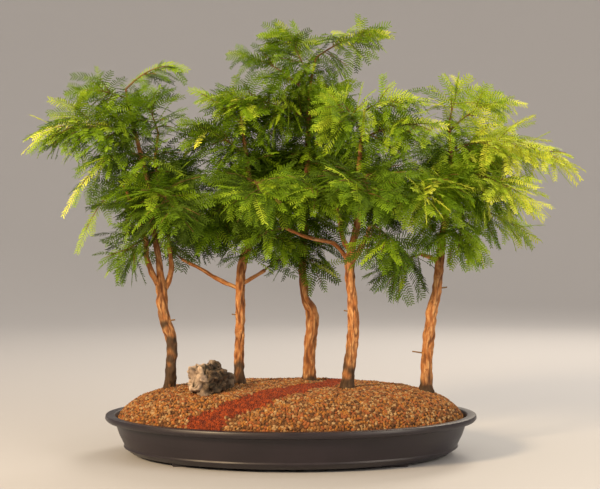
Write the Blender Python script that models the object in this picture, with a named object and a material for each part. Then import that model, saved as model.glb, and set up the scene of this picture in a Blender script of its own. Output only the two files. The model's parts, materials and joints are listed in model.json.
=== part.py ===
"""Dawn redwood forest bonsai: five slim trees on a gravel mound in a low oval tray.

Metres, +Z up. The trees are modelled about the middle of the tray, whose feet stand at Z = 0, and
the empty that carries everything then brings the middle of the whole plant to X = Y = 0.
"""

import math
import random
from collections import namedtuple

import bmesh
import bpy
from mathutils import Vector, noise
from mathutils.bvhtree import BVHTree

# Clearances
GAP = 0.0003
SAFE_GAP = 0.0006
FLAT = math.radians(0.02)

# Tray: semi-axes along X, with the height of each point of the wall
TRAY_HALF_LENGTH = 0.231
OVAL_DIFFERENCE = 0.056
TRAY_HEIGHT = 0.050
LIP_INNER = 0.219
UNDERSIDE = 0.004
FLOOR = 0.009
OVAL_SEGMENTS = 40
TRAY_OUTSIDE = (
    (0.200, UNDERSIDE),
    (0.2085, 0.0105),
    (0.2070, 0.0125),
    (0.2135, 0.026),
    (0.2185, 0.0405),
    (0.2285, 0.0425),
    (TRAY_HALF_LENGTH, 0.0450),
    (0.2300, TRAY_HEIGHT),
)
TRAY_INSIDE = ((LIP_INNER, TRAY_HEIGHT), (0.2180, 0.0475), (0.2020, 0.0120), (0.1960, FLOOR))
FOOT_PLACE = (0.122, 0.098)
FOOT_SIZE = (0.032, 0.013)
FOOT_SUNK = 0.002

# Gravel mound
MOUND_HALF = (0.214, 0.158)
MOUND_EDGE = 0.046
MOUND_RISE = 0.038
MOUND_FLATNESS = 3
MOUND_ROUNDING = 0.75
RELIEF_HEIGHT = 0.0024
RELIEF_WIDTH = 0.036
MOUND_RINGS = (0.22, 0.43, 0.63, 0.80, 0.93, 1.0)
TRUNK_SUNK = 0.0012
SOIL_SIDE = ((0.2162, 0.0445), (0.2015, 0.0123), (0.1957, FLOOR + GAP))

# Red gravel path: (left x, left y, right x, right y) across it, from the front rim to the back rim
PATH_ACROSS = (
    (-0.126, -0.124, -0.077, -0.143),
    (-0.076, -0.117, -0.042, -0.136),
    (-0.040, -0.068, -0.006, -0.100),
    (-0.008, -0.013, 0.027, -0.046),
    (0.035, 0.036, 0.058, 0.008),
    (0.045, 0.088, 0.076, 0.078),
    (0.057, 0.146, 0.092, 0.134),
)
PATH_RISE = 0.0007
PATH_DEPTH = 0.0030
PATH_CUT_ABOVE = 0.010

# Stone, with its lobe to the right and its spur to the front
STONE_MIDDLE = Vector((-0.101, -0.040, 0.0935))
STONE_HALF = Vector((0.027, 0.038, 0.0245))
STONE_BASE = 0.0785
STONE_SIZE = 0.88
STONE_ROUGHNESS = ((0.30, 1.7, Vector((3.1, 0.4, 7.7))), (0.16, 4.3, Vector((1.3, 5.2, 2.9))))
STONE_LOBE_SHARPNESS = 5
STONE_LOBES = (
    (Vector((0.80, 0.60, -0.10)), 0.42),
    (Vector((0.10, -0.95, -0.35)), 0.38),
    (Vector((-0.25, -0.20, 0.95)), 0.16),
)

# Limbs: five trunks, and the boughs that show below the foliage
LIMB_SIDES = 8
BOUGH_SIDES = 6
STEPS_PER_BEND = 1
ROOT_FLARE = 0.30
FLARE_HEIGHT = 0.010

# A bend is its height above the table, its shift from the tree's foot and the limb's width there
Bend = namedtuple("Bend", "height x y width")
Tree = namedtuple("Tree", "trunk foot foot_width bends")
Bough = namedtuple("Bough", "name parent height bends")

TREES = (
    Tree("trunk_1", (-0.153, 0.015), 0.0135, (
        Bend(0.105, 0.0015, 0.000, 0.0133), Bend(0.127, 0.003, 0.001, 0.0135),
        Bend(0.146, 0.000, 0.002, 0.0150), Bend(0.165, -0.006, 0.002, 0.0146),
        Bend(0.184, -0.0095, 0.001, 0.0145), Bend(0.199, -0.010, 0.000, 0.0140),
        Bend(0.230, -0.0125, -0.001, 0.0088), Bend(0.278, -0.019, -0.004, 0.0075),
        Bend(0.346, -0.029, -0.002, 0.0060), Bend(0.386, -0.040, 0.001, 0.0050),
        Bend(0.430, -0.051, 0.003, 0.0036), Bend(0.456, -0.056, 0.003, 0.0026),
    )),
    Tree("trunk_2", (-0.065, 0.020), 0.0132, (
        Bend(0.114, -0.001, 0.001, 0.0126), Bend(0.142, 0.000, 0.002, 0.0125),
        Bend(0.202, 0.001, -0.002, 0.0120), Bend(0.228, 0.002, -0.003, 0.0122),
        Bend(0.243, 0.005, -0.003, 0.0112), Bend(0.264, 0.0142, -0.002, 0.0103),
        Bend(0.285, 0.017, 0.000, 0.0095), Bend(0.329, 0.013, 0.004, 0.0080),
        Bend(0.380, 0.007, 0.006, 0.0056), Bend(0.424, 0.0010, 0.004, 0.0028),
    )),
    Tree("trunk_3", (0.023, 0.055), 0.0160, (
        Bend(0.124, 0.0012, 0.000, 0.0155), Bend(0.156, 0.004, 0.001, 0.0162),
        Bend(0.175, 0.0027, 0.002, 0.0158), Bend(0.188, -0.0039, 0.003, 0.0120),
        Bend(0.208, -0.0071, 0.003, 0.0110), Bend(0.232, -0.0084, 0.001, 0.0106),
        Bend(0.279, -0.0065, -0.003, 0.0098), Bend(0.343, -0.0026, -0.005, 0.0085),
        Bend(0.395, -0.0013, -0.003, 0.0070), Bend(0.434, 0.000, 0.000, 0.0058),
        Bend(0.466, 0.0017, 0.002, 0.0042), Bend(0.502, 0.009, 0.003, 0.0024),
    )),
    Tree("trunk_4", (0.069, -0.026), 0.0155, (
        Bend(0.106, 0.0025, 0.000, 0.0150), Bend(0.130, 0.0056, 0.001, 0.0150),
        Bend(0.161, 0.008, 0.002, 0.0145), Bend(0.186, 0.0068, 0.002, 0.0128),
        Bend(0.213, 0.0043, 0.001, 0.0124), Bend(0.2385, 0.0037, 0.000, 0.0135),
        Bend(0.259, 0.0068, 0.000, 0.0095), Bend(0.288, 0.0129, 0.002, 0.0085),
        Bend(0.325, 0.0136, 0.005, 0.0072), Bend(0.376, 0.0166, 0.005, 0.0055),
        Bend(0.425, 0.0216, 0.002, 0.0030),
    )),
    Tree("trunk_5", (0.169, 0.004), 0.0150, (
        Bend(0.100, 0.0008, 0.000, 0.0145), Bend(0.125, 0.002, -0.001, 0.0145),
        Bend(0.159, 0.0052, -0.002, 0.0140), Bend(0.178, 0.007, -0.002, 0.0138),
        Bend(0.197, 0.0127, -0.001, 0.0128), Bend(0.222, 0.0158, 0.001, 0.0115),
        Bend(0.262, 0.0202, 0.004, 0.0102), Bend(0.297, 0.0252, 0.004, 0.0085),
        Bend(0.341, 0.0327, 0.001, 0.0070), Bend(0.378, 0.0302, -0.002, 0.0055),
        Bend(0.4135, 0.0290, -0.003, 0.0028),
    )),
)

BOUGHS = (
    Bough("stem_1_left", "trunk_1", 0.199, (
        Bend(0.225, -0.0225, -0.004, 0.0076), Bend(0.247, -0.0288, -0.006, 0.0068),
        Bend(0.268, -0.030, -0.006, 0.0062), Bend(0.296, -0.040, -0.005, 0.0055),
        Bend(0.334, -0.0578, -0.003, 0.0040),
    )),
    Bough("stem_1_right", "trunk_1", 0.199, (
        Bend(0.214, -0.002, 0.003, 0.0074), Bend(0.230, 0.0015, 0.005, 0.0066),
        Bend(0.246, 0.000, 0.006, 0.0062), Bend(0.291, -0.005, 0.007, 0.0055),
        Bend(0.341, -0.015, 0.006, 0.0046), Bend(0.367, -0.0187, 0.005, 0.0040),
        Bend(0.400, -0.015, 0.005, 0.0030),
    )),
    Bough("bough_2_left", "trunk_2", 0.203, (
        Bend(0.2150, -0.026, 0.003, 0.0056), Bend(0.2292, -0.0503, 0.007, 0.0050),
        Bend(0.2405, -0.0736, 0.010, 0.0042),
    )),
    Bough("bough_2_right", "trunk_2", 0.209, (
        Bend(0.2158, 0.0125, -0.004, 0.0050), Bend(0.2222, 0.0231, -0.005, 0.0046),
        Bend(0.2277, 0.0320, -0.004, 0.0050),
    )),
    Bough("bough_4_left", "trunk_4", 0.237, (
        Bend(0.2600, -0.0147, -0.004, 0.0054), Bend(0.2670, -0.0418, -0.009, 0.0047),
        Bend(0.2720, -0.0577, -0.011, 0.0042), Bend(0.2800, -0.0750, -0.012, 0.0036),
    )),
    Bough("bough_4_right", "trunk_4", 0.236, (
        Bend(0.2460, 0.0110, -0.003, 0.0074), Bend(0.2560, 0.0165, -0.004, 0.0068),
        Bend(0.2680, 0.0234, -0.005, 0.0058), Bend(0.2840, 0.0283, -0.006, 0.0045),
    )),
    Bough("bough_4_rising", "trunk_4", 0.250, (
        Bend(0.2620, -0.0030, -0.006, 0.0064), Bend(0.2750, -0.0073, -0.010, 0.0060),
        Bend(0.2960, -0.0095, -0.014, 0.0052), Bend(0.3150, -0.0147, -0.018, 0.0042),
    )),
    Bough("bough_5_left", "trunk_5", 0.238, (
        Bend(0.2440, 0.0060, 0.006, 0.0056), Bend(0.2475, -0.0040, 0.012, 0.0046),
    )),
)

# A mass of foliage grows on one stem: it leaves its limb at a height, or from the limb's tip where
# the height is None, and ends at a tip (right, back and up from the middle of the tray's foot). It
# sets out above the straight way to that tip and bends down to it: its sag is a share of that way.
# Its spread is how far its sprays reach from the stem.
TIP = None
Mass = namedtuple("Mass", "name limb height tip sag spread")
MASSES = (
    Mass("foliage_1_top", "trunk_1", TIP, (-0.131, 0.006, 0.479), 0.70, 0.036),
    Mass("foliage_1_high_left", "trunk_1", 0.444, (-0.280, -0.002, 0.450), 0.35, 0.038),
    Mass("foliage_1_left", "trunk_1", 0.392, (-0.323, 0.007, 0.394), 0.60, 0.058),
    Mass("foliage_1_drooping_left", "trunk_1", 0.372, (-0.281, -0.020, 0.297), 0.90, 0.036),
    Mass("foliage_1_hanging_left", "stem_1_left", TIP, (-0.268, 0.002, 0.251), 0.70, 0.028),
    Mass("foliage_1_high_right", "stem_1_right", TIP, (-0.183, -0.004, 0.441), 0.40, 0.050),
    Mass("foliage_1_low_left", "stem_1_left", 0.266, (-0.221, 0.000, 0.235), 0.40, 0.048),
    Mass("foliage_1_front", "trunk_1", 0.322, (-0.127, -0.103, 0.284), 0.40, 0.069),
    Mass("foliage_1_back", "trunk_1", 0.335, (-0.164, 0.126, 0.348), 0.45, 0.072),
    Mass("foliage_1_low_right", "stem_1_right", 0.285, (-0.096, 0.044, 0.271), 0.35, 0.054),
    Mass("foliage_2_top", "trunk_2", 0.412, (-0.127, 0.013, 0.455), 0.35, 0.028),
    Mass("foliage_2_high_left", "trunk_2", 0.372, (-0.136, 0.006, 0.413), 0.35, 0.050),
    Mass("foliage_2_left", "trunk_2", 0.326, (-0.115, -0.047, 0.274), 0.30, 0.066),
    Mass("foliage_2_front", "trunk_2", 0.335, (-0.033, -0.114, 0.308), 0.40, 0.072),
    Mass("foliage_2_low_right", "trunk_2", 0.276, (0.001, -0.023, 0.255), 0.35, 0.049),
    Mass("foliage_2_back", "trunk_2", 0.316, (-0.042, 0.150, 0.331), 0.45, 0.072),
    Mass("foliage_2_far_left", "bough_2_left", TIP, (-0.173, 0.046, 0.260), 0.35, 0.033),
    Mass("foliage_2_right_tuft", "bough_2_right", TIP, (-0.004, 0.016, 0.243), 0.45, 0.034),
    Mass("foliage_3_top_right", "trunk_3", TIP, (0.123, 0.045, 0.530), 0.40, 0.044),
    Mass("foliage_3_top_left", "trunk_3", 0.468, (-0.024, 0.063, 0.536), 0.90, 0.044),
    Mass("foliage_3_high_left", "trunk_3", 0.452, (-0.082, 0.065, 0.504), 0.55, 0.038),
    Mass("foliage_3_left", "trunk_3", 0.421, (-0.095, 0.014, 0.442), 0.35, 0.062),
    Mass("foliage_3_right", "trunk_3", 0.405, (0.051, 0.123, 0.470), 0.50, 0.056),
    Mass("foliage_3_back_left", "trunk_3", 0.362, (-0.057, 0.150, 0.352), 0.40, 0.072),
    Mass("foliage_3_back_right", "trunk_3", 0.363, (0.069, 0.183, 0.372), 0.45, 0.077),
    Mass("foliage_3_low", "trunk_3", 0.243, (0.034, 0.019, 0.230), 0.40, 0.046),
    Mass("foliage_4_top", "trunk_4", TIP, (0.169, -0.028, 0.434), 0.45, 0.040),
    Mass("foliage_4_high_left", "trunk_4", 0.396, (0.057, -0.034, 0.439), 0.40, 0.050),
    Mass("foliage_4_high_right", "trunk_4", 0.390, (0.189, -0.042, 0.404), 0.35, 0.050),
    Mass("foliage_4_front", "trunk_4", 0.339, (0.092, -0.144, 0.306), 0.40, 0.072),
    Mass("foliage_4_low_right", "bough_4_right", TIP, (0.130, -0.072, 0.253), 0.35, 0.058),
    Mass("foliage_4_low_left", "bough_4_left", TIP, (-0.049, -0.054, 0.262), 0.35, 0.044),
    Mass("foliage_4_left", "bough_4_rising", TIP, (0.007, -0.091, 0.324), 0.40, 0.054),
    Mass("foliage_4_back", "trunk_4", 0.315, (0.123, 0.090, 0.318), 0.45, 0.067),
    Mass("foliage_5_top", "trunk_5", TIP, (0.212, 0.007, 0.465), 0.20, 0.044),
    Mass("foliage_5_high_right", "trunk_5", 0.402, (0.291, -0.007, 0.434), 0.65, 0.038),
    Mass("foliage_5_far_right", "trunk_5", 0.378, (0.352, 0.007, 0.355), 0.55, 0.054),
    Mass("foliage_5_right", "trunk_5", 0.352, (0.303, -0.045, 0.305), 0.35, 0.060),
    Mass("foliage_5_low_right", "trunk_5", 0.309, (0.316, 0.042, 0.265), 0.35, 0.046),
    Mass("foliage_5_low_front", "trunk_5", 0.284, (0.238, -0.036, 0.253), 0.40, 0.050),
    Mass("foliage_5_low_back", "bough_5_left", TIP, (0.119, 0.036, 0.220), 0.35, 0.056),
    Mass("foliage_5_front", "trunk_5", 0.341, (0.142, -0.107, 0.303), 0.40, 0.069),
    Mass("foliage_5_back", "trunk_5", 0.353, (0.230, 0.140, 0.369), 0.45, 0.074),
)

# Stems and side twigs of a mass, three-sided
TWIG_SIDES = 3
STEM_WIDTH = (0.0034, 0.0020)
STEM_SHARE = 0.42
STEM_SPANS = 3
ROOT_CLEARANCE = 0.004
TWIG_WIDTH = 0.0020
TWIG_FROM_SPREAD = 0.048
SHORTEST_TWIG = 0.022
TWIG_SPREAD = 1.25
SECOND_SPRAY_AT = 0.5
SECOND_SPRAY_SIZE = 0.9
SECOND_SPRAY_FORWARD = 0.9

# Sprays: a mass whose reach is long carries one pair more. Angles are in degrees. A spray opens
# from the stem less and less towards its end, and is lifted or dropped more where the mass grows
# to the side, so that its face shows to the front.
LONG_REACH = 0.086
PAIRS_END = 0.92
OPENING = (62, 40)
LIFT = (8, 44)
SIDE_LIFT = 26
SPRAY_LENGTH = (0.046, 0.090)
LENGTH_VARIATION = (0.88, 1.0)
SPRAY_WIDTH = 0.42
SPRAY_THICKNESS = 0.0026
SPRAY_SUNK = 0.006
PAST_TIP = 0.006
SPRAY_BEND = 0.14
SPRAY_GUARD = 0.0008
FURTHEST = 1.06

# Each further try at a spray wanders more from its place and is shorter
TRIES = 10
WANDER = 5
SHORTER = 0.05

# Sprays face the light, away from the middle of the crown
CROWN_MIDDLE = 0.020
CROWN_DEPTH = 0.170
INWARD_SHARE = 0.18
LEAN = (20, 72)
END_SHARE = 0.5

# The teeth and notches down one side of a spray, as shares of its length and width, from its
# pointed root to its tip, and the place of its thickest point
BLADE_TEETH = ((0.20, 0.38), (0.34, 0.25), (0.50, 0.50), (0.62, 0.27), (0.78, 0.36))
BLADE_MIDDLE = 0.42

# The sprays of a mass: share of the stem where one springs, its angle from the stem, and how far it
# is lifted above or dropped below the side of the stem, in degrees
Slot = namedtuple("Slot", "share opening side lift length")

Shape = namedtuple("Shape", "points faces")


def material(name, hex_colour, roughness):
    """A plain Principled material; the colour is an sRGB hex value."""
    finish = bpy.data.materials.new(name)
    finish.use_nodes = True
    shader = finish.node_tree.nodes["Principled BSDF"]
    parts = [int(hex_colour[start:start + 2], 16) / 255 for start in (0, 2, 4)]
    linear = [part / 12.92 if part <= 0.04045 else ((part + 0.055) / 1.055) ** 2.4 for part in parts]
    shader.inputs["Base Color"].default_value = (*linear, 1.0)
    shader.inputs["Roughness"].default_value = roughness
    return finish


def new_object(name, shape, finish=None):
    mesh = bpy.data.meshes.new(name)
    mesh.from_pydata(shape.points, [], shape.faces)
    solid = bmesh.new()
    solid.from_mesh(mesh)
    bmesh.ops.recalc_face_normals(solid, faces=solid.faces)
    solid.to_mesh(mesh)
    solid.free()
    obj = bpy.data.objects.new(name, mesh)
    bpy.context.scene.collection.objects.link(obj)
    if finish:
        mesh.materials.append(finish)
    return obj


def joined(obj, operation, others):
    """Applies one Boolean of obj with the other objects, which are then removed."""
    helpers = bpy.data.collections.new("helpers")
    bpy.context.scene.collection.children.link(helpers)
    for other in others:
        bpy.context.scene.collection.objects.unlink(other)
        helpers.objects.link(other)
    step = obj.modifiers.new("join", "BOOLEAN")
    step.operation = operation
    step.solver = "EXACT"
    step.operand_type = "COLLECTION"
    step.collection = helpers
    graph = bpy.context.evaluated_depsgraph_get()
    result = bpy.data.meshes.new_from_object(obj.evaluated_get(graph))
    obj.modifiers.remove(step)
    obj.data = result
    for other in others:
        bpy.data.objects.remove(other)
    bpy.data.collections.remove(helpers)


def drop_scraps(obj):
    """Keeps the largest connected part of the mesh."""
    solid = bmesh.new()
    solid.from_mesh(obj.data)
    left = set(solid.verts)
    parts = []
    while left:
        front = [left.pop()]
        part = []
        while front:
            vert = front.pop()
            part.append(vert)
            for edge in vert.link_edges:
                other = edge.other_vert(vert)
                if other in left:
                    left.remove(other)
                    front.append(other)
        parts.append(part)
    parts.sort(key=len)
    for part in parts[:-1]:
        bmesh.ops.delete(solid, geom=part, context="VERTS")
    bmesh.ops.dissolve_limit(solid, angle_limit=FLAT, verts=solid.verts, edges=solid.edges)
    solid.to_mesh(obj.data)
    solid.free()


def through(points, steps):
    """Points of a Catmull-Rom curve through the given ones, with steps to each span."""
    ends = [2 * points[0] - points[1], *points, 2 * points[-1] - points[-2]]
    curve = []
    for start in range(len(points) - 1):
        before, here, there, after = ends[start:start + 4]
        for step in range(steps):
            t = step / steps
            curve.append(0.5 * (
                2 * here + (there - before) * t
                + (2 * before - 5 * here + 4 * there - after) * t * t
                + (3 * here - before - 3 * there + after) * t ** 3
            ))
    return curve + [points[-1]]


# The oval tray and what fills it

def oval(half_length, angle):
    """A point of the tray's oval, whose rings keep one wall width all round."""
    edge_length, edge_width = MOUND_HALF
    if half_length > edge_length:
        half_width = half_length - OVAL_DIFFERENCE
    else:
        half_width = half_length * edge_width / edge_length
    return half_length * math.cos(angle), half_width * math.sin(angle)


def oval_solid(profile, bottom, top):
    """A closed solid of oval rings, from a flat underside to its top's middle point."""
    angles = [2 * math.pi * turn / OVAL_SEGMENTS for turn in range(OVAL_SEGMENTS)]
    points = [(*oval(size, angle), height) for size, height in profile for angle in angles]
    last = len(profile) - 1
    faces = []
    for ring in range(last):
        for turn in range(OVAL_SEGMENTS):
            after = (turn + 1) % OVAL_SEGMENTS
            low, high = ring * OVAL_SEGMENTS, (ring + 1) * OVAL_SEGMENTS
            faces.append((low + turn, low + after, high + after, high + turn))
    for ring, height in ((0, bottom), (last, top)):
        middle = len(points)
        points.append((0.0, 0.0, height))
        for turn in range(OVAL_SEGMENTS):
            start = ring * OVAL_SEGMENTS
            faces.append((middle, start + turn, start + (turn + 1) % OVAL_SEGMENTS))
    return Shape(points, faces)


def box(middle, size):
    corners = [(x, y, z) for x in (-0.5, 0.5) for y in (-0.5, 0.5) for z in (-0.5, 0.5)]
    points = [tuple(m + s * c for m, s, c in zip(middle, size, corner)) for corner in corners]
    faces = [(0, 1, 3, 2), (4, 6, 7, 5), (0, 4, 5, 1), (2, 3, 7, 6), (0, 2, 6, 4), (1, 5, 7, 3)]
    return Shape(points, faces)


def make_tray(finish):
    profile = TRAY_OUTSIDE + TRAY_INSIDE
    tray = new_object("tray", oval_solid(profile, UNDERSIDE, FLOOR), finish)
    feet = []
    foot_top = UNDERSIDE + FOOT_SUNK
    for side in (-1, 1):
        for end in (-1, 1):
            middle = (side * FOOT_PLACE[0], end * FOOT_PLACE[1], foot_top / 2)
            feet.append(new_object("foot", box(middle, (*FOOT_SIZE, foot_top))))
    joined(tray, "UNION", feet)
    return tray


def ground(x, y):
    """Height of the mound's surface: a flat dome, heaped and hollowed a little away from its edge."""
    out = min(1.0, (x / MOUND_HALF[0]) ** 2 + (y / MOUND_HALF[1]) ** 2)
    dome = MOUND_RISE * (1 - out ** MOUND_FLATNESS) ** MOUND_ROUNDING
    relief = RELIEF_HEIGHT * noise.noise(Vector((x, y, 0.0)) / RELIEF_WIDTH) * (1 - out ** MOUND_FLATNESS)
    return MOUND_EDGE + dome + relief


def foot_height(foot, width):
    """A trunk's flat cut lies just under the lowest ground round it, in its recess."""
    reach = width / 2
    turns = [math.pi * turn / 4 for turn in range(8)]
    lowest = min(ground(foot[0] + reach * math.cos(t), foot[1] + reach * math.sin(t)) for t in turns)
    return lowest - TRUNK_SUNK


def make_soil(finish, sunk_shapes):
    rings = [(share * MOUND_HALF[0], MOUND_EDGE) for share in MOUND_RINGS]
    profile = list(reversed(SOIL_SIDE)) + list(reversed(rings))
    level = oval_solid(profile, SOIL_SIDE[-1][1], MOUND_EDGE)
    points = [(x, y, ground(x, y) if z == MOUND_EDGE else z) for x, y, z in level.points]
    soil = new_object("gravel_mound", Shape(points, level.faces), finish)
    joined(soil, "DIFFERENCE", [new_object("sunk", shape) for shape in sunk_shapes])
    drop_scraps(soil)
    return soil


def path_shape(grow):
    """The path as a thin strip on the mound; grow widens and deepens it into its own recess.

    Its twisted faces are split the same way at either size, so that the two keep their gap.
    """
    lefts = through([Vector((row[0], row[1])) for row in PATH_ACROSS], 2)
    rights = through([Vector((row[2], row[3])) for row in PATH_ACROSS], 2)
    rise = PATH_RISE + (PATH_CUT_ABOVE if grow else 0.0)
    shares = (0.0, 0.5, 1.0)
    points = []
    for index, (left, right) in enumerate(zip(lefts, rights)):
        across = (right - left).normalized() * grow
        along = (lefts[min(index + 1, len(lefts) - 1)] - lefts[max(index - 1, 0)]).normalized()
        ends = (index == len(lefts) - 1) - (index == 0)
        start, stop = left - across + along * grow * ends, right + across + along * grow * ends
        spots = [start.lerp(stop, share) for share in shares]
        points += [(x, y, ground(x, y) + rise) for x, y in spots]
        points += [(x, y, ground(x, y) - PATH_DEPTH - grow) for x, y in spots]
    count = len(shares)
    loop = list(range(count)) + list(range(2 * count - 1, count - 1, -1))
    faces = [tuple(loop)]
    for row in range(len(lefts) - 1):
        here, there = 2 * count * row, 2 * count * (row + 1)
        for spot, after in zip(loop, loop[1:] + loop[:1]):
            faces.append((here + spot, here + after, there + after))
            faces.append((here + spot, there + after, there + spot))
    last = 2 * count * (len(lefts) - 1)
    faces.append(tuple(last + spot for spot in reversed(loop)))
    return Shape(points, faces)


def stone_shape(grow):
    """A rugged boulder with a flat base; grow pushes its whole surface out."""
    solid = bmesh.new()
    bmesh.ops.create_icosphere(solid, subdivisions=3, radius=1.0)
    for vert in solid.verts:
        way = vert.co.normalized()
        share = STONE_SIZE
        for height, fineness, shift in STONE_ROUGHNESS:
            share += height * noise.noise(way * fineness + shift)
        for lobe, size in STONE_LOBES:
            share += size * max(0.0, way.dot(lobe.normalized())) ** STONE_LOBE_SHARPNESS
        vert.co = STONE_MIDDLE + Vector(s * h for s, h in zip(way * share, STONE_HALF))
        vert.co.z = max(vert.co.z, STONE_BASE)
    solid.normal_update()
    pushed = [vert.co + vert.normal * grow for vert in solid.verts]
    shape = Shape([tuple(point) for point in pushed], [[v.index for v in f.verts] for f in solid.faces])
    solid.free()
    return shape


# Limbs

def tube(line, widths, sides, level_foot=False):
    """A closed tube along the line; its first ring lies level where it is cut off at the ground."""
    points, faces = [], []
    count = len(line)
    normal = Vector((1.0, 0.0, 0.0))
    for index, (spot, width) in enumerate(zip(line, widths)):
        along = (line[min(index + 1, count - 1)] - line[max(index - 1, 0)]).normalized()
        if level_foot and index == 0:
            along = Vector((0.0, 0.0, 1.0))
        normal = normal - along * normal.dot(along)
        if normal.length < 0.1:
            normal = along.orthogonal()
        normal.normalize()
        side = along.cross(normal)
        for turn in range(sides):
            angle = 2 * math.pi * turn / sides
            points.append(spot + (normal * math.cos(angle) + side * math.sin(angle)) * width / 2)
    for ring in range(count - 1):
        for turn in range(sides):
            after = (turn + 1) % sides
            low, high = ring * sides, (ring + 1) * sides
            faces.append((low + turn, low + after, high + after, high + turn))
    faces.append(tuple(range(sides)))
    faces.append(tuple(range((count - 1) * sides, count * sides)))
    return Shape([tuple(point) for point in points], faces)


class Limb:
    """The line and widths of a trunk or bough, and the tree that it belongs to."""

    def __init__(self, name, foot, start, start_width, bends, sides, is_trunk):
        rows = [start] + [Vector((foot[0] + b.x, foot[1] + b.y, b.height)) for b in bends]
        widths = [start_width] + [bend.width for bend in bends]
        self.name = name
        self.foot = foot
        self.sides = sides
        self.is_trunk = is_trunk
        self.line = through(rows, STEPS_PER_BEND)
        self.widths = [pair.x for pair in through([Vector((width, 0)) for width in widths], STEPS_PER_BEND)]
        if is_trunk:
            base = self.line[0].z
            self.line.insert(1, self.line[0].lerp(self.line[1], FLARE_HEIGHT / (self.line[1].z - base)))
            self.widths.insert(1, self.widths[0])
            self.widths[0] *= 1 + ROOT_FLARE

    def width_at(self, height):
        near = min(range(len(self.line)), key=lambda index: abs(self.line[index].z - height))
        return self.widths[near]

    def shape(self, grow=0.0):
        """The tube; grown for a recess or a cut, it also reaches further at both ends."""
        line = [spot.copy() for spot in self.line]
        if grow:
            line[0] -= (line[1] - line[0]).normalized() * grow
            line[-1] += (line[-1] - line[-2]).normalized() * grow
        return tube(line, [width + 2 * grow for width in self.widths], self.sides, self.is_trunk)

    def at(self, height):
        """The point on the limb's middle line at a height, or its tip."""
        if height is TIP:
            return self.line[-1].copy()
        for low, high in zip(self.line, self.line[1:]):
            if low.z <= height <= high.z:
                return low.lerp(high, (height - low.z) / (high.z - low.z))
        raise ValueError(f"{self.name} does not reach {height}")


def make_limbs(finish):
    limbs = {}
    for tree in TREES:
        base = Vector((*tree.foot, foot_height(tree.foot, tree.foot_width)))
        limb = Limb(tree.trunk, tree.foot, base, tree.foot_width, tree.bends, LIMB_SIDES, True)
        limbs[tree.trunk] = limb
        new_object(limb.name, limb.shape(), finish)
    for bough in BOUGHS:
        parent = limbs[bough.parent]
        start = parent.at(bough.height)
        width = bough.bends[0].width
        limb = Limb(bough.name, parent.foot, start, width, bough.bends, BOUGH_SIDES, False)
        limbs[bough.name] = limb
        cut_clear(new_object(limb.name, limb.shape(), finish), parent)
    return limbs


def cut_clear(obj, limb):
    """Cuts obj off a gap away from the limb that it grows from."""
    joined(obj, "DIFFERENCE", [new_object("cutter", limb.shape(GAP))])
    drop_scraps(obj)


# Masses of foliage

class Stem:
    """The line of a mass: it sets out above the way to its tip and bends down under its own weight."""

    def __init__(self, mass, limbs):
        self.mass = mass
        self.root = limbs[mass.limb].at(mass.height)
        way = Vector(mass.tip) - self.root
        self.fall = Vector((0.0, 0.0, mass.sag * way.length))
        self.run = way + self.fall
        self.reach = self.run.length
        half_width = 0.0 if mass.height is TIP else limbs[mass.limb].width_at(mass.height) / 2
        self.first = (half_width + ROOT_CLEARANCE) / self.reach

    def at(self, share):
        return self.root + self.run * share - self.fall * share * share

    def along(self, share):
        return (self.at(share + 0.01) - self.at(share - 0.01)).normalized()

    def to_tip(self, share):
        """The way from a place on the stem to its tip, raised by as much as a spray bends down."""
        way = self.at(1.0) - self.at(share)
        return (way + Vector((0.0, 0.0, SPRAY_BEND * way.length))).normalized()

    def shape(self):
        steps = [step / STEM_SPANS for step in range(STEM_SPANS + 1)]
        wide, slim = STEM_WIDTH
        line = [self.at(STEM_SHARE * step) for step in steps]
        return tube(line, [wide + (slim - wide) * step for step in steps], TWIG_SIDES)


def blade(root, out, up, length, grow=0.0):
    """A spray: a toothed blade, thickest in its middle, which bends down towards its tip."""
    side = out.cross(up).normalized()
    up = side.cross(out)
    width = length * SPRAY_WIDTH

    def spot(share, aside, raised=0.0):
        drop = Vector((0.0, 0.0, SPRAY_BEND * length * share * share))
        return root + out * length * share + side * aside + up * raised - drop

    left = [(share, half * width + grow) for share, half in BLADE_TEETH]
    right = [(share, -half) for share, half in reversed(left)]
    outline = [(0.0, 0.0), *left, (1.0 + grow / length, 0.0), *right]
    points = [spot(share, aside) for share, aside in outline]
    thickness = SPRAY_THICKNESS / 2 + grow
    points += [spot(BLADE_MIDDLE, 0, thickness), spot(BLADE_MIDDLE, 0, -thickness)]
    count = len(outline)
    faces = []
    for index in range(count):
        after = (index + 1) % count
        faces.append((index, after, count))
        faces.append((after, index, count + 1))
    return Shape([tuple(point) for point in points], faces)


def tree_of(shape):
    return BVHTree.FromPolygons(shape.points, shape.faces)


def spray_length(mass, opening):
    """As long as the spread of the mass has room for at this angle from the stem."""
    shortest, longest = SPRAY_LENGTH
    return min(longest, max(shortest, mass.spread / math.sin(math.radians(opening))))


def spray_slots(stem, rng):
    """One spray at the stem's end, then pairs from root to end, drooping and rising by turns."""
    mass = stem.mass
    last = STEM_SHARE - SPRAY_SUNK / stem.reach
    yield Slot(last, 0, 0, 0, (stem.at(1.0) - stem.at(last)).length + PAST_TIP)
    pairs = 3 if stem.reach > LONG_REACH else 2
    widest, narrowest = OPENING
    steeper = SIDE_LIFT * abs(stem.run.x) / stem.run.xy.length
    for pair in range(pairs):
        along = pair / (pairs - 1)
        share = stem.first + (STEM_SHARE - stem.first) * PAIRS_END * along
        opening = widest + (narrowest - widest) * along
        for side in (-1, 1):
            lift = (rng.uniform(*LIFT) + steeper) * (1 if pair % 2 else -1)
            length = spray_length(mass, opening) * rng.uniform(*LENGTH_VARIATION)
            yield Slot(share, opening, side, lift, length)


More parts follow.
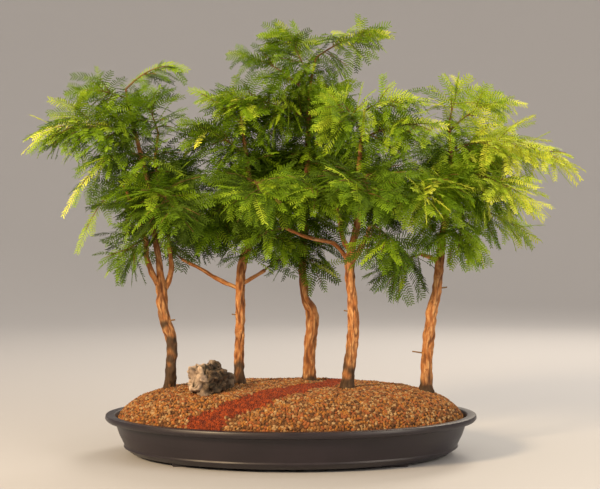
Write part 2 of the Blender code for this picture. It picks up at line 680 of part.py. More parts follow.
class Facing:
    """Directions at a place on a stem: along it, level across it, and up from it."""

    def __init__(self, along):
        self.along = along
        self.level = along.cross(Vector((0.0, 0.0, 1.0))).normalized()
        self.up = self.level.cross(along)

    def out(self, opening, side, lift):
        opening, lift = math.radians(opening), math.radians(lift)
        aside = self.level * side * math.cos(lift) + self.up * math.sin(lift)
        return (self.along * math.cos(opening) + aside * math.sin(opening)).normalized()


def facing_light(out, place, rng):
    """The way a spray faces: upwards, and outwards to the front or back and the near end of the crown."""
    to_front = -1 if place.y < CROWN_MIDDLE else 1
    if rng.random() < INWARD_SHARE:
        to_front = -to_front
    outward = Vector((place.x * END_SHARE, to_front * CROWN_DEPTH, 0.0)).normalized()
    lean = math.radians(rng.uniform(*LEAN))
    face = Vector((0.0, 0.0, math.cos(lean))) + outward * math.sin(lean)
    return (face - out * face.dot(out)).normalized()


def place_spray(stem, slot, rng, blocked):
    """The pieces of one spray, or none where it would leave its space or touch another piece.

    In a wide mass the middle sprays stand on a side twig, which carries a second spray.
    """
    start = stem.at(slot.share)
    facing = Facing(stem.along(slot.share) if slot.side else stem.to_tip(slot.share))
    twig_length = max(0.0, stem.mass.spread - TWIG_FROM_SPREAD) if slot.lift > 0 else 0.0
    for attempt in range(TRIES):
        wander = WANDER * (1 + attempt)
        opening = max(0, slot.opening + rng.uniform(-1, 1) * wander)
        out = facing.out(opening, slot.side or 1, slot.lift + rng.uniform(-1, 1) * wander)
        face = facing_light(out, start, rng)
        length = slot.length * (1 - SHORTER * attempt)
        if twig_length < SHORTEST_TWIG:
            pieces = guarded_spray(stem, start, out, face, length, blocked)
        else:
            pieces = twig_with_sprays(stem, start, out, face, twig_length, blocked)
        if pieces:
            return pieces
    return []


def guarded_spray(stem, start, out, face, length, blocked):
    """A spray sunk in what carries it, where a slightly larger one is clear of everything else."""
    guard = blade(start - out * SPRAY_GUARD, out, face, length + SPRAY_GUARD, SAFE_GAP)
    tip = Vector(guard.points[len(BLADE_TEETH) + 1])
    if too_far(stem, tip) or tree_of(guard).overlap(blocked):
        return []
    return [blade(start, out, face, length)]


def twig_with_sprays(stem, start, out, face, twig_length, blocked):
    """A side twig with a spray at its tip and one that leans forward from its middle."""
    end = start + out * twig_length
    guard = tube([start, end], [TWIG_WIDTH + 2 * SAFE_GAP] * 2, TWIG_SIDES)
    if tree_of(guard).overlap(blocked):
        return []
    length = min(SPRAY_LENGTH[1], stem.mass.spread * TWIG_SPREAD - twig_length)
    tip_spray = guarded_spray(stem, end - out * SPRAY_SUNK, out, face, length, blocked)
    if not tip_spray:
        return []
    middle = start.lerp(end, SECOND_SPRAY_AT)
    forward = (out + stem.along(STEM_SHARE) * SECOND_SPRAY_FORWARD).normalized()
    second = guarded_spray(stem, middle, forward, face, length * SECOND_SPRAY_SIZE, blocked)
    return [tube([start, end], [TWIG_WIDTH] * 2, TWIG_SIDES), *tip_spray, *second]


def too_far(stem, point):
    """Whether a point lies outside the space of the mass: its spread round the stem's line."""
    line = [stem.at(step / 12) for step in range(13)]
    return min((point - spot).length for spot in line) > stem.mass.spread * FURTHEST


def merged(shapes):
    points, faces = [], []
    for shape in shapes:
        faces += [[index + len(points) for index in face] for face in shape.faces]
        points += shape.points
    return Shape(points, faces)


def make_masses(limbs, finish):
    stems = [Stem(mass, limbs) for mass in MASSES]
    limb_shapes = [limb.shape(SAFE_GAP) for limb in limbs.values()]
    placed = {stem.mass.name: [stem.shape()] for stem in stems}
    for stem in stems:
        mass = stem.mass
        rng = random.Random(mass.name)
        others = [shape for name, shapes in placed.items() if name != mass.name for shape in shapes]
        blocked = tree_of(merged(limb_shapes + others))
        pieces = []
        for slot in spray_slots(stem, rng):
            pieces += place_spray(stem, slot, rng, blocked)
        placed[mass.name] += pieces
        body = new_object(mass.name, stem.shape(), finish)
        cut_clear(body, limbs[mass.limb])
        joined(body, "UNION", [new_object("spray", piece) for piece in pieces])
        drop_scraps(body)


def clear_scene():
    for obj in list(bpy.data.objects):
        bpy.data.objects.remove(obj)


def centre_everything():
    """Parents the solids to one empty, placed so that the middle of the whole plant is at X = Y = 0."""
    solids = [obj for obj in bpy.context.scene.objects if obj.type == "MESH"]
    points = [vert.co for obj in solids for vert in obj.data.vertices]
    low = [min(point[axis] for point in points) for axis in (0, 1)]
    high = [max(point[axis] for point in points) for axis in (0, 1)]
    centre = bpy.data.objects.new("bonsai_forest", None)
    bpy.context.scene.collection.objects.link(centre)
    centre.location = (-(low[0] + high[0]) / 2, -(low[1] + high[1]) / 2, 0.0)
    for obj in solids:
        obj.parent = centre


def main():
    clear_scene()
    bark = material("flaking orange bark", "9C5A34", 0.85)
    needles = material("green needles", "4C7A24", 0.60)
    gravel = material("tan gravel", "A47A48", 0.90)
    red_gravel = material("red gravel", "8E3A1C", 0.90)
    limestone = material("weathered limestone", "A8A296", 0.90)
    moulded = material("dark brown moulded tray", "2B2624", 0.40)

    make_tray(moulded)
    limbs = make_limbs(bark)
    sunk = [limb.shape(GAP) for limb in limbs.values() if limb.is_trunk]
    make_soil(gravel, [path_shape(GAP), stone_shape(SAFE_GAP), *sunk])
    new_object("gravel_path", path_shape(0.0), red_gravel)
    new_object("stone", stone_shape(0.0), limestone)
    make_masses(limbs, needles)
    centre_everything()


main()
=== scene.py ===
"""The looks of a dawn redwood forest bonsai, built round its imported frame. Metres, +Z up.

Every piece is modelled about the middle of the tray, whose feet stand at Z = 0, and its mesh is then
moved to the tray's place in the frame.
"""

import json
import math
import random
from collections import namedtuple

import bmesh
import bpy
from mathutils import Matrix, Vector, noise
from mathutils.bvhtree import BVHTree

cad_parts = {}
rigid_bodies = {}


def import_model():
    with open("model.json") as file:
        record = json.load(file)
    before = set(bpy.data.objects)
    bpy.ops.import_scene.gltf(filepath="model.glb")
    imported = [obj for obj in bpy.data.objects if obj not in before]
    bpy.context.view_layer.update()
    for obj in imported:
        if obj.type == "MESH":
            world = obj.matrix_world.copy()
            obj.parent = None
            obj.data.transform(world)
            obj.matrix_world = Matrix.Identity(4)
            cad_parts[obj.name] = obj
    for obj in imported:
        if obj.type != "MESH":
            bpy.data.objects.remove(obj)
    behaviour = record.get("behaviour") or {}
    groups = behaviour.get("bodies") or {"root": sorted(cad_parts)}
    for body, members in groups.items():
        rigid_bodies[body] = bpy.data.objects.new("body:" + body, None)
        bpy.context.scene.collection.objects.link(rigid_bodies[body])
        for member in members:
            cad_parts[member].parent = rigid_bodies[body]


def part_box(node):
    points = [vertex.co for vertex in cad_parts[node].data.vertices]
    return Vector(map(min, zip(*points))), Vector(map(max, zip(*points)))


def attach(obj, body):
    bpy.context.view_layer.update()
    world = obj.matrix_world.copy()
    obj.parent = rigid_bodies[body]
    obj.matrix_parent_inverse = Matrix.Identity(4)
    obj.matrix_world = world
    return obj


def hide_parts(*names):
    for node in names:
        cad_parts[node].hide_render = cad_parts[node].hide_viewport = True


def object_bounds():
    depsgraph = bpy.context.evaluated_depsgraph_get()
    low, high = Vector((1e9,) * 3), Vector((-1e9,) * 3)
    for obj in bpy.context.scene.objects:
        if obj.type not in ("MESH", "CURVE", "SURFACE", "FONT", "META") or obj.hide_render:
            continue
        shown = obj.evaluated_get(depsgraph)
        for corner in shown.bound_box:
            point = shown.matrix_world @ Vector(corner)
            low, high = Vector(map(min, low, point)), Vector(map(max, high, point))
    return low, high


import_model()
cad_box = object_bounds()
tray_low, tray_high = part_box("tray")
POT = Vector(((tray_low.x + tray_high.x) / 2, (tray_low.y + tray_high.y) / 2, 0.0))
UP = Vector((0.0, 0.0, 1.0))

# Camera: level, straight in front of the tray
CAMERA_PLACE = Vector((0.01125, -1.6, 0.260))
CAMERA_LENS = 76.8
SENSOR_WIDTH = 36.0

# Studio floor: flat round the tray, rising into a bowl that the camera never leaves
FLOOR_FLAT = 2.6
FLOOR_CURVE = 3.2
FLOOR_WALL = 4.5
FLOOR_STEPS = 20

# Tray
TRAY_HALF_LENGTH = (tray_high.x - tray_low.x) / 2
OVAL_DIFFERENCE = TRAY_HALF_LENGTH - (tray_high.y - tray_low.y) / 2
TRAY_HEIGHT = tray_high.z
TRAY_SEGMENTS = 224
TRAY_PROFILE = (
    (0.000, 0.0040), (0.1985, 0.0040), (0.2085, 0.0108), (0.2068, 0.0126), (0.2135, 0.0260),
    (0.2185, 0.0405), (0.2282, 0.0424), (TRAY_HALF_LENGTH, 0.0455), (0.2302, TRAY_HEIGHT),
    (0.2192, TRAY_HEIGHT), (0.2180, 0.0470), (0.2020, 0.0120), (0.1960, 0.0090), (0.000, 0.0090),
)
TRAY_ROUNDING = 0.0011
FOOT_PLACE = (0.122, 0.098)
FOOT_SIZE = Vector((0.032, 0.013, 0.0055))

# Gravel mound
MOUND_HALF = (0.214, 0.158)
MOUND_EDGE = 0.046
MOUND_RISE = 0.038
MOUND_FLATNESS = 3
MOUND_ROUNDING = 0.75
RELIEF_HEIGHT = 0.0024
RELIEF_WIDTH = 0.036
MOUND_RINGS = 56
MOUND_SEGMENTS = 180
MOUND_SUNK = 0.0012
GRAIN_SPACING = 0.0027
GRAIN_SIZE = (0.0015, 0.0028)
PATH_GRAIN_SPACING = 0.0017
PATH_GRAIN_SIZE = (0.0009, 0.0018)
PATH_STRAY = 0.006
PATH_STRAY_WIDTH = 0.014
PATH_STRAY_SHIFTS = (Vector((4.3, 7.1, 0.5)), Vector((9.2, 2.6, 0.5)))
PATH_TO_RIM = (-0.150, -0.128, -0.092, -0.158)

# Red gravel path: (left x, left y, right x, right y) across it, from the front rim to the back rim
PATH_ACROSS = (
    (-0.126, -0.124, -0.077, -0.143), (-0.076, -0.117, -0.042, -0.136),
    (-0.040, -0.068, -0.006, -0.100), (-0.008, -0.013, 0.027, -0.046),
    (0.035, 0.036, 0.058, 0.008), (0.045, 0.088, 0.076, 0.078), (0.057, 0.146, 0.092, 0.134),
)

# Stone
STONE_MIDDLE = Vector((-0.101, -0.040, 0.0935))
STONE_HALF = Vector((0.027, 0.038, 0.0245))
STONE_BASE = 0.0785
STONE_SIZE = 0.88
STONE_ROUGHNESS = ((0.30, 1.7, Vector((3.1, 0.4, 7.7))), (0.16, 4.3, Vector((1.3, 5.2, 2.9))))
STONE_LOBE_SHARPNESS = 5
STONE_LOBES = (
    (Vector((0.80, 0.60, -0.10)), 0.42),
    (Vector((0.10, -0.95, -0.35)), 0.38),
    (Vector((-0.25, -0.20, 0.95)), 0.16),
)

# Limbs: a bend is its height above the table, its shift from the tree's foot and the width there
Bend = namedtuple("Bend", "height x y width")
Tree = namedtuple("Tree", "trunk foot foot_width bends")
Bough = namedtuple("Bough", "name parent height bends")

TREES = (
    Tree("trunk_1", (-0.153, 0.015), 0.0135, (
        Bend(0.105, 0.0015, 0.000, 0.0133), Bend(0.127, 0.003, 0.001, 0.0135),
        Bend(0.146, 0.000, 0.002, 0.0150), Bend(0.165, -0.006, 0.002, 0.0146),
        Bend(0.184, -0.0095, 0.001, 0.0145), Bend(0.199, -0.010, 0.000, 0.0140),
        Bend(0.230, -0.0125, -0.001, 0.0088), Bend(0.278, -0.019, -0.004, 0.0075),
        Bend(0.346, -0.029, -0.002, 0.0060), Bend(0.386, -0.040, 0.001, 0.0050),
        Bend(0.430, -0.051, 0.003, 0.0036), Bend(0.456, -0.056, 0.003, 0.0026),
    )),
    Tree("trunk_2", (-0.065, 0.020), 0.0132, (
        Bend(0.114, -0.001, 0.001, 0.0126), Bend(0.142, 0.000, 0.002, 0.0125),
        Bend(0.202, 0.001, -0.002, 0.0120), Bend(0.228, 0.002, -0.003, 0.0122),
        Bend(0.243, 0.005, -0.003, 0.0112), Bend(0.264, 0.0142, -0.002, 0.0103),
        Bend(0.285, 0.017, 0.000, 0.0095), Bend(0.329, 0.013, 0.004, 0.0080),
        Bend(0.380, 0.007, 0.006, 0.0056), Bend(0.424, 0.0010, 0.004, 0.0028),
    )),
    Tree("trunk_3", (0.023, 0.055), 0.0160, (
        Bend(0.124, 0.0012, 0.000, 0.0155), Bend(0.156, 0.004, 0.001, 0.0162),
        Bend(0.175, 0.0027, 0.002, 0.0158), Bend(0.188, -0.0039, 0.003, 0.0120),
        Bend(0.208, -0.0071, 0.003, 0.0110), Bend(0.232, -0.0084, 0.001, 0.0106),
        Bend(0.279, -0.0065, -0.003, 0.0098), Bend(0.343, -0.0026, -0.005, 0.0085),
        Bend(0.395, -0.0013, -0.003, 0.0070), Bend(0.434, 0.000, 0.000, 0.0058),
        Bend(0.466, 0.0017, 0.002, 0.0042), Bend(0.502, 0.009, 0.003, 0.0024),
    )),
    Tree("trunk_4", (0.069, -0.026), 0.0155, (
        Bend(0.106, 0.0025, 0.000, 0.0150), Bend(0.130, 0.0056, 0.001, 0.0150),
        Bend(0.161, 0.008, 0.002, 0.0145), Bend(0.186, 0.0068, 0.002, 0.0128),
        Bend(0.213, 0.0043, 0.001, 0.0124), Bend(0.2385, 0.0037, 0.000, 0.0135),
        Bend(0.259, 0.0068, 0.000, 0.0095), Bend(0.288, 0.0129, 0.002, 0.0085),
        Bend(0.325, 0.0136, 0.005, 0.0072), Bend(0.376, 0.0166, 0.005, 0.0055),
        Bend(0.425, 0.0216, 0.002, 0.0030),
    )),
    Tree("trunk_5", (0.169, 0.004), 0.0150, (
        Bend(0.100, 0.0008, 0.000, 0.0145), Bend(0.125, 0.002, -0.001, 0.0145),
        Bend(0.159, 0.0052, -0.002, 0.0140), Bend(0.178, 0.007, -0.002, 0.0138),
        Bend(0.197, 0.0127, -0.001, 0.0128), Bend(0.222, 0.0158, 0.001, 0.0115),
        Bend(0.262, 0.0202, 0.004, 0.0102), Bend(0.297, 0.0252, 0.004, 0.0085),
        Bend(0.341, 0.0327, 0.001, 0.0070), Bend(0.378, 0.0302, -0.002, 0.0055),
        Bend(0.4135, 0.0290, -0.003, 0.0028),
    )),
)

BOUGHS = (
    Bough("stem_1_left", "trunk_1", 0.199, (
        Bend(0.225, -0.0225, -0.004, 0.0076), Bend(0.247, -0.0288, -0.006, 0.0068),
        Bend(0.268, -0.030, -0.006, 0.0062), Bend(0.296, -0.040, -0.005, 0.0055),
        Bend(0.334, -0.0578, -0.003, 0.0040),
    )),
    Bough("stem_1_right", "trunk_1", 0.199, (
        Bend(0.214, -0.002, 0.003, 0.0074), Bend(0.230, 0.0015, 0.005, 0.0066),
        Bend(0.246, 0.000, 0.006, 0.0062), Bend(0.291, -0.005, 0.007, 0.0055),
        Bend(0.341, -0.015, 0.006, 0.0046), Bend(0.367, -0.0187, 0.005, 0.0040),
        Bend(0.400, -0.015, 0.005, 0.0030),
    )),
    Bough("bough_2_left", "trunk_2", 0.203, (
        Bend(0.2150, -0.026, 0.003, 0.0056), Bend(0.2292, -0.0503, 0.007, 0.0050),
        Bend(0.2405, -0.0736, 0.010, 0.0042),
    )),
    Bough("bough_2_right", "trunk_2", 0.209, (
        Bend(0.2158, 0.0125, -0.004, 0.0050), Bend(0.2222, 0.0231, -0.005, 0.0046),
        Bend(0.2277, 0.0320, -0.004, 0.0050),
    )),
    Bough("bough_4_left", "trunk_4", 0.237, (
        Bend(0.2600, -0.0147, -0.004, 0.0054), Bend(0.2670, -0.0418, -0.009, 0.0047),
        Bend(0.2720, -0.0577, -0.011, 0.0042), Bend(0.2800, -0.0750, -0.012, 0.0036),
    )),
    Bough("bough_4_right", "trunk_4", 0.236, (
        Bend(0.2460, 0.0110, -0.003, 0.0074), Bend(0.2560, 0.0165, -0.004, 0.0068),
        Bend(0.2680, 0.0234, -0.005, 0.0058), Bend(0.2840, 0.0283, -0.006, 0.0045),
    )),
    Bough("bough_4_rising", "trunk_4", 0.250, (
        Bend(0.2620, -0.0030, -0.006, 0.0064), Bend(0.2750, -0.0073, -0.010, 0.0060),
        Bend(0.2960, -0.0095, -0.014, 0.0052), Bend(0.3150, -0.0147, -0.018, 0.0042),
    )),
    Bough("bough_5_left", "trunk_5", 0.238, (
        Bend(0.2440, 0.0060, 0.006, 0.0056), Bend(0.2475, -0.0040, 0.012, 0.0046),
    )),
)

# A mass of foliage grows on one stem, as in the frame: it leaves its limb at a height, or from the
# limb's tip, and bends down to its own tip by a share of the straight way there. Its fresh value is how
# much of its green is the young yellow-green: from 0 to 1, or more where all of it is. It is partly
# painted light too, raised where the crown is to look more brightly lit, most on the right.
TIP = None
Mass = namedtuple("Mass", "name limb height tip sag spread fresh")
MASSES = (
    Mass("foliage_1_top", "trunk_1", TIP, (-0.131, 0.006, 0.479), 0.70, 0.036, 0.1),
    Mass("foliage_1_high_left", "trunk_1", 0.444, (-0.280, -0.002, 0.450), 0.35, 0.038, 0.3),
    Mass("foliage_1_left", "trunk_1", 0.392, (-0.323, 0.007, 0.394), 0.60, 0.058, 0.5),
    Mass("foliage_1_drooping_left", "trunk_1", 0.372, (-0.281, -0.020, 0.297), 0.90, 0.036, 0.45),
    Mass("foliage_1_hanging_left", "stem_1_left", TIP, (-0.268, 0.002, 0.251), 0.70, 0.028, 0.5),
    Mass("foliage_1_high_right", "stem_1_right", TIP, (-0.183, -0.004, 0.441), 0.40, 0.050, 0.1),
    Mass("foliage_1_low_left", "stem_1_left", 0.266, (-0.221, 0.000, 0.235), 0.40, 0.048, 0.3),
    Mass("foliage_1_front", "trunk_1", 0.322, (-0.127, -0.103, 0.284), 0.40, 0.069, 0.0),
    Mass("foliage_1_back", "trunk_1", 0.335, (-0.164, 0.126, 0.348), 0.45, 0.072, 0.1),
    Mass("foliage_1_low_right", "stem_1_right", 0.285, (-0.096, 0.044, 0.271), 0.35, 0.054, 0.0),
    Mass("foliage_2_top", "trunk_2", 0.412, (-0.127, 0.013, 0.455), 0.35, 0.028, 0.4),
    Mass("foliage_2_high_left", "trunk_2", 0.372, (-0.136, 0.006, 0.413), 0.35, 0.050, 0.4),
    Mass("foliage_2_left", "trunk_2", 0.326, (-0.115, -0.047, 0.274), 0.30, 0.066, 0.3),
    Mass("foliage_2_front", "trunk_2", 0.335, (-0.033, -0.114, 0.308), 0.40, 0.072, 0.3),
    Mass("foliage_2_low_right", "trunk_2", 0.276, (0.001, -0.023, 0.255), 0.35, 0.049, 0.3),
    Mass("foliage_2_back", "trunk_2", 0.316, (-0.042, 0.150, 0.331), 0.45, 0.072, 0.4),
    Mass("foliage_2_far_left", "bough_2_left", TIP, (-0.173, 0.046, 0.260), 0.35, 0.033, 0.2),
    Mass("foliage_2_right_tuft", "bough_2_right", TIP, (-0.004, 0.016, 0.243), 0.45, 0.034, 0.1),
    Mass("foliage_3_top_right", "trunk_3", TIP, (0.123, 0.045, 0.530), 0.40, 0.044, 0.35),
    Mass("foliage_3_top_left", "trunk_3", 0.468, (-0.024, 0.063, 0.536), 0.90, 0.044, 0.35),
    Mass("foliage_3_high_left", "trunk_3", 0.452, (-0.082, 0.065, 0.504), 0.55, 0.038, 0.3),
    Mass("foliage_3_left", "trunk_3", 0.421, (-0.095, 0.014, 0.442), 0.35, 0.062, 0.4),
    Mass("foliage_3_right", "trunk_3", 0.405, (0.051, 0.123, 0.470), 0.50, 0.056, 0.7),
    Mass("foliage_3_back_left", "trunk_3", 0.362, (-0.057, 0.150, 0.352), 0.40, 0.072, 0.3),
    Mass("foliage_3_back_right", "trunk_3", 0.363, (0.069, 0.183, 0.372), 0.45, 0.077, 0.3),
    Mass("foliage_3_low", "trunk_3", 0.243, (0.034, 0.019, 0.230), 0.40, 0.046, 0.3),
    Mass("foliage_4_top", "trunk_4", TIP, (0.169, -0.028, 0.434), 0.45, 0.040, 0.7),
    Mass("foliage_4_high_left", "trunk_4", 0.396, (0.057, -0.034, 0.439), 0.40, 0.050, 0.45),
    Mass("foliage_4_high_right", "trunk_4", 0.390, (0.189, -0.042, 0.404), 0.35, 0.050, 0.65),
    Mass("foliage_4_front", "trunk_4", 0.339, (0.092, -0.144, 0.306), 0.40, 0.072, 0.05),
    Mass("foliage_4_low_right", "bough_4_right", TIP, (0.130, -0.072, 0.253), 0.35, 0.058, 0.05),
    Mass("foliage_4_low_left", "bough_4_left", TIP, (-0.049, -0.054, 0.262), 0.35, 0.044, 0.2),
    Mass("foliage_4_left", "bough_4_rising", TIP, (0.007, -0.091, 0.324), 0.40, 0.054, 0.2),
    Mass("foliage_4_back", "trunk_4", 0.315, (0.123, 0.090, 0.318), 0.45, 0.067, 0.3),
    Mass("foliage_5_top", "trunk_5", TIP, (0.212, 0.007, 0.465), 0.20, 0.044, 1.0),
    Mass("foliage_5_high_right", "trunk_5", 0.402, (0.291, -0.007, 0.434), 0.65, 0.038, 1.1),
    Mass("foliage_5_far_right", "trunk_5", 0.378, (0.352, 0.007, 0.355), 0.55, 0.054, 1.8),
    Mass("foliage_5_right", "trunk_5", 0.352, (0.303, -0.045, 0.305), 0.35, 0.060, 1.5),
    Mass("foliage_5_low_right", "trunk_5", 0.309, (0.316, 0.042, 0.265), 0.35, 0.046, 1.0),
    Mass("foliage_5_low_front", "trunk_5", 0.284, (0.238, -0.036, 0.253), 0.40, 0.050, 0.8),
    Mass("foliage_5_low_back", "bough_5_left", TIP, (0.119, 0.036, 0.220), 0.35, 0.056, 0.5),
    Mass("foliage_5_front", "trunk_5", 0.341, (0.142, -0.107, 0.303), 0.40, 0.069, 0.8),
    Mass("foliage_5_back", "trunk_5", 0.353, (0.230, 0.140, 0.369), 0.45, 0.074, 0.8),
)

# Bark: rings along a limb and points round it, fibres, plates that peel in strips, and furrows
RING_SPACING = 0.0016
TRUNK_SIDES = 48
BOUGH_SIDES = 22
ROOT_FLARE = 0.30
FLARE_HEIGHT = 0.009
PLATE_WIDTH = 0.0048
PLATE_LENGTH = 0.015
PLATE_LIFT = 0.0008
KNOB_SIZE = 0.009
KNOB_HEIGHT = 0.0011
FURROW_WIDTH = 0.0065
FURROW_LENGTH = 0.035
FURROW_DEPTH = 0.0009
FIBRE_WIDTH = 0.0012
FIBRE_LENGTH = 0.016
FIBRE_DEPTH = 0.00016
DEEPEST_SHARE = 0.075

# Dead twig stubs on the trunks: limb, height, azimuth in degrees, length, width
STUBS = (
    ("trunk_3", 0.462, -8, 0.021, 0.0052), ("trunk_5", 0.123, 178, 0.012, 0.0022),
    ("trunk_4", 0.344, -60, 0.009, 0.0040), ("trunk_2", 0.236, 60, 0.007, 0.0030),
    ("trunk_1", 0.163, -20, 0.006, 0.0024), ("trunk_4", 0.176, 150, 0.006, 0.0020),
    ("trunk_2", 0.170, 200, 0.005, 0.0018), ("trunk_5", 0.205, 10, 0.007, 0.0022),
)

# Stems, side twigs and sprays, as shares and degrees like those of the frame, carried finer
STEM_WIDTH = (0.0027, 0.0008)
STEM_POINTS = 14
STEM_END = 0.80
STEM_NEEDLES_FROM = 0.25
ROOT_CLEARANCE = 0.004
TWIG_SPACING = 0.0080
TWIG_WIDTH = (0.0013, 0.0006)
TWIG_END = 0.80
LAST_TWIG = 0.90
OPENING = (66, 40)
LIFT = (-62, 34)
# Masses that hang less, so that the fork behind them shows: their lowest lift
LOWEST_LIFT = {"foliage_4_front": -5, "foliage_1_front": -30, "foliage_5_front": -30}
OPENING_JITTER = 15
SIDE_LIFT = 14
# Sideways reach of a mass along its stem, as shares of its spread
OUTLINE = (0.90, 1.08, 1.10, 1.00, 0.82, 0.60, 0.40)
SIMPLE_TWIG = 0.040
LONGEST_TWIG = 0.085
SPRAY_LENGTH = (0.030, 0.050)
SHORTEST_SPRAY = 0.020
SPRAY_SPACING = 0.0092
SPRAY_OPENING = (56, 42)
SPRAY_ROLL = 45
SPRAY_DROOP = (0.10, 0.32)
TWIG_BEND = 0.20
FURTHEST = 1.0
SHARE_ABOVE = 0.75
PROUD = 0.006

# Short leafy shoots on the limbs, inside the crown, towards its sides and back
CROWN_BASES = {"1": 0.262, "2": 0.248, "3": 0.236, "4": 0.305, "5": 0.262}
SHOOT_SPACING = 0.0055
SHOOT_LENGTH = (0.034, 0.062)
SHOOT_AZIMUTHS = (-90, 270)
SHOOT_TURN = 137.5
SHOOT_RISE = (-20, 38)
SHOOT_RISE_AT_TIP = 18
SHORTER_AT_TIP = 0.5
# Partly painted light: raised most on tree 5 at the right, to make its shoots brighter as if lit more
SHOOT_FRESH_AND_LIT = {"1": 0.0, "2": 0.2, "3": 0.2, "4": 0.3, "5": 0.8}

# Single sprays set close together up the upper trunks and boughs, which droop over their bark
CLOTHED_FROM = {"1": 0.402, "2": 0.268, "3": 0.240, "4": 0.322, "5": 0.272}
CLOTHING_SPACING = 0.0016
CLOTHING_LENGTH = (0.026, 0.044)
CLOTHING_RISE = (0, 40)
CLOTHING_DROOP = (0.65, 1.15)
CLOTHING_FACE = 1.0

# Sprays face the light, away from the middle of the crown
CROWN_MIDDLE = 0.020
CROWN_DEPTH = 0.170
INWARD_SHARE = 0.18
LEAN = (0, 62)
STEM_LEAN = (60, 75)
END_SHARE = 0.5
FACE_JITTER = 0.30

# Needles
NEEDLE_SPACING = 0.0030
NEEDLE_WIDTH = 0.00125
NEEDLE_LENGTHS = (0.0064, 0.0112)
NEEDLE_PER_SPRAY = 0.25
NEEDLE_SWEEP = (76, 48)
SPRAY_POINTS = 4
SPRAY_AXIS_RADIUS = 0.00038

# Shares of the side sprays that are one green darker than their twig, the same and one brighter
SHADES_DEALT = (0.40, 0.36, 0.24)

# Greens from the shaded inside of the crown to its yellow-green tips: the darker are painted shade, the brighter
# painted light and young needles
GREENS = (
    ("shaded", "35480B"), ("deep", "48610E"), ("full", "5F7F12"), ("bright", "7A9C19"),
    ("young", "94B026"), ("tip", "B2C838"), ("newest", "D4DE4A"),
)


def new_object(name, points, faces):
    mesh = bpy.data.meshes.new(name)
    mesh.from_pydata([tuple(point) for point in points], [], faces)
    obj = bpy.data.objects.new(name, mesh)
    bpy.context.scene.collection.objects.link(obj)
    return obj


def outward(obj):
    """Turns every face of a closed mesh outwards."""
    solid = bmesh.new()
    solid.from_mesh(obj.data)
    bmesh.ops.recalc_face_normals(solid, faces=solid.faces)
    solid.to_mesh(obj.data)
    solid.free()


def into_frame(piece, nodes=()):
    """Moves a finished mesh to the tray's place and makes it part of the plant."""
    piece.data.transform(Matrix.Translation(POT))
    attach(piece, "root")
    if nodes:
        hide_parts(*nodes)


# Node trees

def add(tree, kind, inputs=None, **settings):
    """Adds one node: its settings, then its inputs, which are values or another node's outputs."""
    node = tree.nodes.new(kind)
    for name, value in settings.items():
        setattr(node, name, value)
    for socket, value in (inputs or {}).items():
        if isinstance(value, bpy.types.NodeSocket):
            tree.links.new(value, node.inputs[socket])
        else:
            node.inputs[socket].default_value = value
    return node


def linear(hex_colour):
    parts = [int(hex_colour[start:start + 2], 16) / 255 for start in (0, 2, 4)]
    linear_parts = [part / 12.92 if part <= 0.04045 else ((part + 0.055) / 1.055) ** 2.4 for part in parts]
    return (*linear_parts, 1.0)


def principled(name, values):
    """A material with one Principled shader, and the constant values set on its own sockets."""
    finish = bpy.data.materials.new(name)
    finish.use_nodes = True
    shader = finish.node_tree.nodes["Principled BSDF"]
    for socket, value in values.items():
        shader.inputs[socket].default_value = value
    return finish, finish.node_tree, shader


def per(metres):
    """A pattern's scale for a feature of that size."""
    return 1 / metres


def moulded_plastic():
    """Injection-moulded plastic, dark brown-black: a satin skin with a fine grain from the mould."""
    finish, tree, shader = principled("satin moulded plastic", {"IOR": 1.49})
    place = add(tree, "ShaderNodeTexCoord").outputs["Object"]
    cloud = add(tree, "ShaderNodeTexNoise", {"Vector": place, "Scale": per(0.045), "Detail": 3.0})
    colour = add(tree, "ShaderNodeMix", {
        0: cloud.outputs["Fac"], 6: linear("19151A"), 7: linear("292129")}, data_type="RGBA")
    tree.links.new(colour.outputs[2], shader.inputs["Base Color"])
    rub = add(tree, "ShaderNodeMapRange", {
        "Value": cloud.outputs["Fac"], "From Min": 0.3, "From Max": 0.7, "To Min": 0.30, "To Max": 0.46})
    tree.links.new(rub.outputs["Result"], shader.inputs["Roughness"])
    grain = add(tree, "ShaderNodeTexNoise", {"Vector": place, "Scale": per(0.0012), "Detail": 2.0})
    bump = add(tree, "ShaderNodeBump", {
        "Height": grain.outputs["Fac"], "Strength": 0.25, "Distance": 0.0002})
    tree.links.new(bump.outputs["Normal"], shader.inputs["Normal"])
    return finish


def crushed_rock(name, dark, light):
    """Crushed rock: dull broken faces, whose colour drifts from grain to grain."""
    finish, tree, shader = principled(name, {"Roughness": 0.88, "IOR": 1.5})
    place = add(tree, "ShaderNodeTexCoord").outputs["Object"]
    drift = add(tree, "ShaderNodeTexNoise", {"Vector": place, "Scale": per(0.006), "Detail": 4.0})
    sharper = add(tree, "ShaderNodeMapRange", {
        "Value": drift.outputs["Fac"], "From Min": 0.32, "From Max": 0.68})
    colour = add(tree, "ShaderNodeMix", {
        0: sharper.outputs["Result"], 6: linear(dark), 7: linear(light)}, data_type="RGBA")
    tree.links.new(colour.outputs[2], shader.inputs["Base Color"])
    return finish


